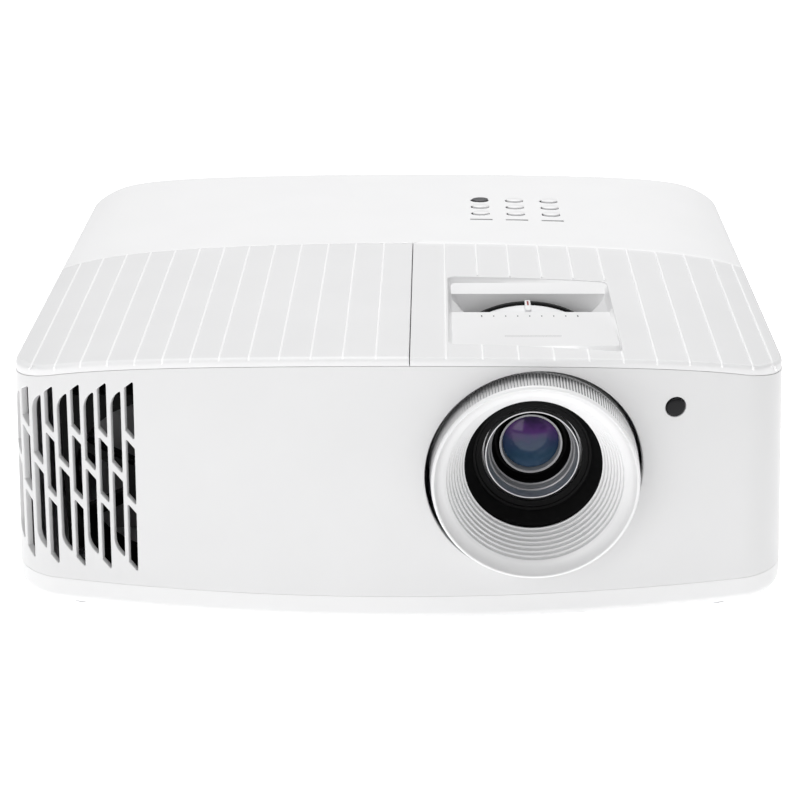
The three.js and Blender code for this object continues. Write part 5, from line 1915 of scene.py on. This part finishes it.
@dataclass
class Details:
    """Infrared window and feet."""

    case: Case

    def window(self) -> Shape:
        """A shallow dome set along the outward direction of the bowed front.

        Returns:
            The closed dome.
        """
        low, high = node_box("ir_window")
        radius = float(high[2] - low[2]) / 2
        x, z = float(low[0] + high[0]) / 2, float(low[2] + high[2]) / 2
        share = np.array([0, 0.3, 0.6, 0.85, 0.95, 1.0, 1.0, 0.0])
        out = np.array([0.3, 0.28, 0.22, 0.1, 0.0, -0.25, -4.4, -4.4])
        dome = turned(np.stack([share * radius, -out], axis=1), (0, 0), 64, closed=False)
        turn = math.atan(2 * self.case.front_bow * x / self.case.half**2)
        c, s = math.cos(turn), math.sin(turn)
        px, py = dome.points[:, 0].copy(), dome.points[:, 1].copy()
        dome.points[:, 0] = x + c * px - s * py
        dome.points[:, 1] = float(self.case.front_at(x)) + s * px + c * py
        dome.points[:, 2] += z
        return dome

    def foot(self, node: str) -> Shape:
        """A rubber pad turned about Z: rounded rim, ribbed side, a shallow dish underneath.

        Args:
            node: CAD node of the pad.

        Returns:
            The closed pad.
        """
        low, high = node_box(node)
        radius, tall = float(high[0] - low[0]) / 2, float(high[2] - low[2])
        corners = [(0.0, 0.35), (radius - 2.6, 0.35), (radius - 2.2, 0.0), (radius - 0.5, 0.0)]
        corners += [(radius, 0.6), (radius, tall), (0.0, tall)]
        profile = soften(corners, 0.25, closed=False)
        centre = (low + high)[:2] / 2
        return turned(profile, centre, 72, closed=False, axis="z")

    def build(self) -> None:
        """Makes the window and the three pads."""
        add_piece("ir_window_dome", self.window(), [WINDOW], "case", ["ir_window"], "smoked_window")
        for foot in ("front_left", "front_right", "rear"):
            node = foot + "_foot_pad"
            add_piece(node + "_rubber", self.foot(node), [FOOT], node, [node], "rubber")


def dress_nodes() -> None:
    """Gives every CAD node the procedural finish of its record slot."""
    slots = {row["node"]: row["material_slot"] for row in frame["record"]["subparts"]}
    for name, node in frame["nodes"].items():
        finish = SLOT_FINISH[slots[name]]
        node.data.materials.clear()
        node.data.materials.append(finish.material())


# ---------------------------------------------------------------- studio


@dataclass(frozen=True)
class AreaLight:
    """A square soft light at a place, aimed at the middle of the object."""

    name: str
    place: tuple[float, float, float]
    size: float
    power: float

    def build(self) -> None:
        """Makes the light."""
        data = bpy.data.lights.new(self.name, "AREA")
        data.size, data.energy = self.size, self.power
        light = bpy.data.objects.new(self.name, data)
        aim = (Vector((0, 0, 0.06)) - Vector(self.place)).to_track_quat("-Z", "Y")
        light.matrix_world = Matrix.Translation(self.place) @ aim.to_matrix().to_4x4()
        bpy.context.scene.collection.objects.link(light)


@dataclass
class Studio:
    """Camera, pale floor and soft lights."""

    position: tuple[float, float, float] = (0.0143, -0.8428, 0.3760)
    pitch: float = 21.23
    yaw: float = 1.026
    roll: float = -0.394
    focal: float = 90.27
    sensor: float = 36.0
    floor_half: float = 6.0
    floor_glow: float = 0.75
    surroundings: float = 0.26
    above: AreaLight = AreaLight("light_above", (0.1, 0.25, 1.6), 1.4, 24)
    front: AreaLight = AreaLight("light_front", (-0.9, -1.65, 0.8), 1.2, 10.5)

    def camera(self) -> None:
        """Camera that looks down by pitch, turned left by yaw and tilted by roll, in degrees."""
        pitch, yaw, roll = (math.radians(v) for v in (self.pitch, self.yaw, self.roll))
        flat = math.cos(pitch)
        ahead = Vector((-math.sin(yaw) * flat, math.cos(yaw) * flat, -math.sin(pitch)))
        level = Vector((math.cos(yaw), math.sin(yaw), 0))
        up = level.cross(ahead)
        right = math.cos(roll) * level + math.sin(roll) * up
        above = -math.sin(roll) * level + math.cos(roll) * up
        turn = Matrix((right, above, -ahead)).transposed().to_4x4()
        data = bpy.data.cameras.new("camera")
        data.lens, data.sensor_width = self.focal, self.sensor
        data.clip_start, data.clip_end = 0.01, 50
        camera = bpy.data.objects.new("camera", data)
        camera.matrix_world = Matrix.Translation(self.position) @ turn
        bpy.context.scene.collection.objects.link(camera)
        bpy.context.scene.camera = camera

    def floor(self) -> None:
        """A wide pale floor with a faint cloudy tone."""
        mesh = bpy.data.meshes.new("studio_floor")
        far = self.floor_half
        corners = [(-far, -far, 0), (far, -far, 0), (far, far, 0), (-far, far, 0)]
        mesh.from_pydata(corners, [], [(0, 1, 2, 3)])
        made = FLOOR.material()
        shader = made.node_tree.nodes["Principled BSDF"]
        shader.inputs["Emission Color"].default_value = (1, 1, 1, 1)
        shader.inputs["Emission Strength"].default_value = self.floor_glow
        mesh.materials.append(made)
        floor = bpy.data.objects.new("studio_floor", mesh)
        bpy.context.scene.collection.objects.link(floor)

    def build(self) -> None:
        """Sets up the studio."""
        self.camera()
        self.floor()
        world = bpy.data.worlds.new("studio_world")
        world.use_nodes = True
        back = world.node_tree.nodes["Background"]
        back.inputs["Color"].default_value = (1, 1, 1, 1)
        back.inputs["Strength"].default_value = self.surroundings
        bpy.context.scene.world = world
        self.above.build()
        self.front.build()
        bpy.context.scene.view_settings.view_transform = "Standard"


def main() -> None:
    """Builds every part in order."""
    logging.basicConfig(level=logging.INFO, format="%(message)s")
    Studio().build()
    dress_nodes()
    case = Case()
    covers = Covers(case)
    covers.build()
    Walls(case).build()
    Base(case).build()
    Keypad(covers).build()
    Lens().build()
    Details(case).build()


if __name__ == "__main__":
    main()
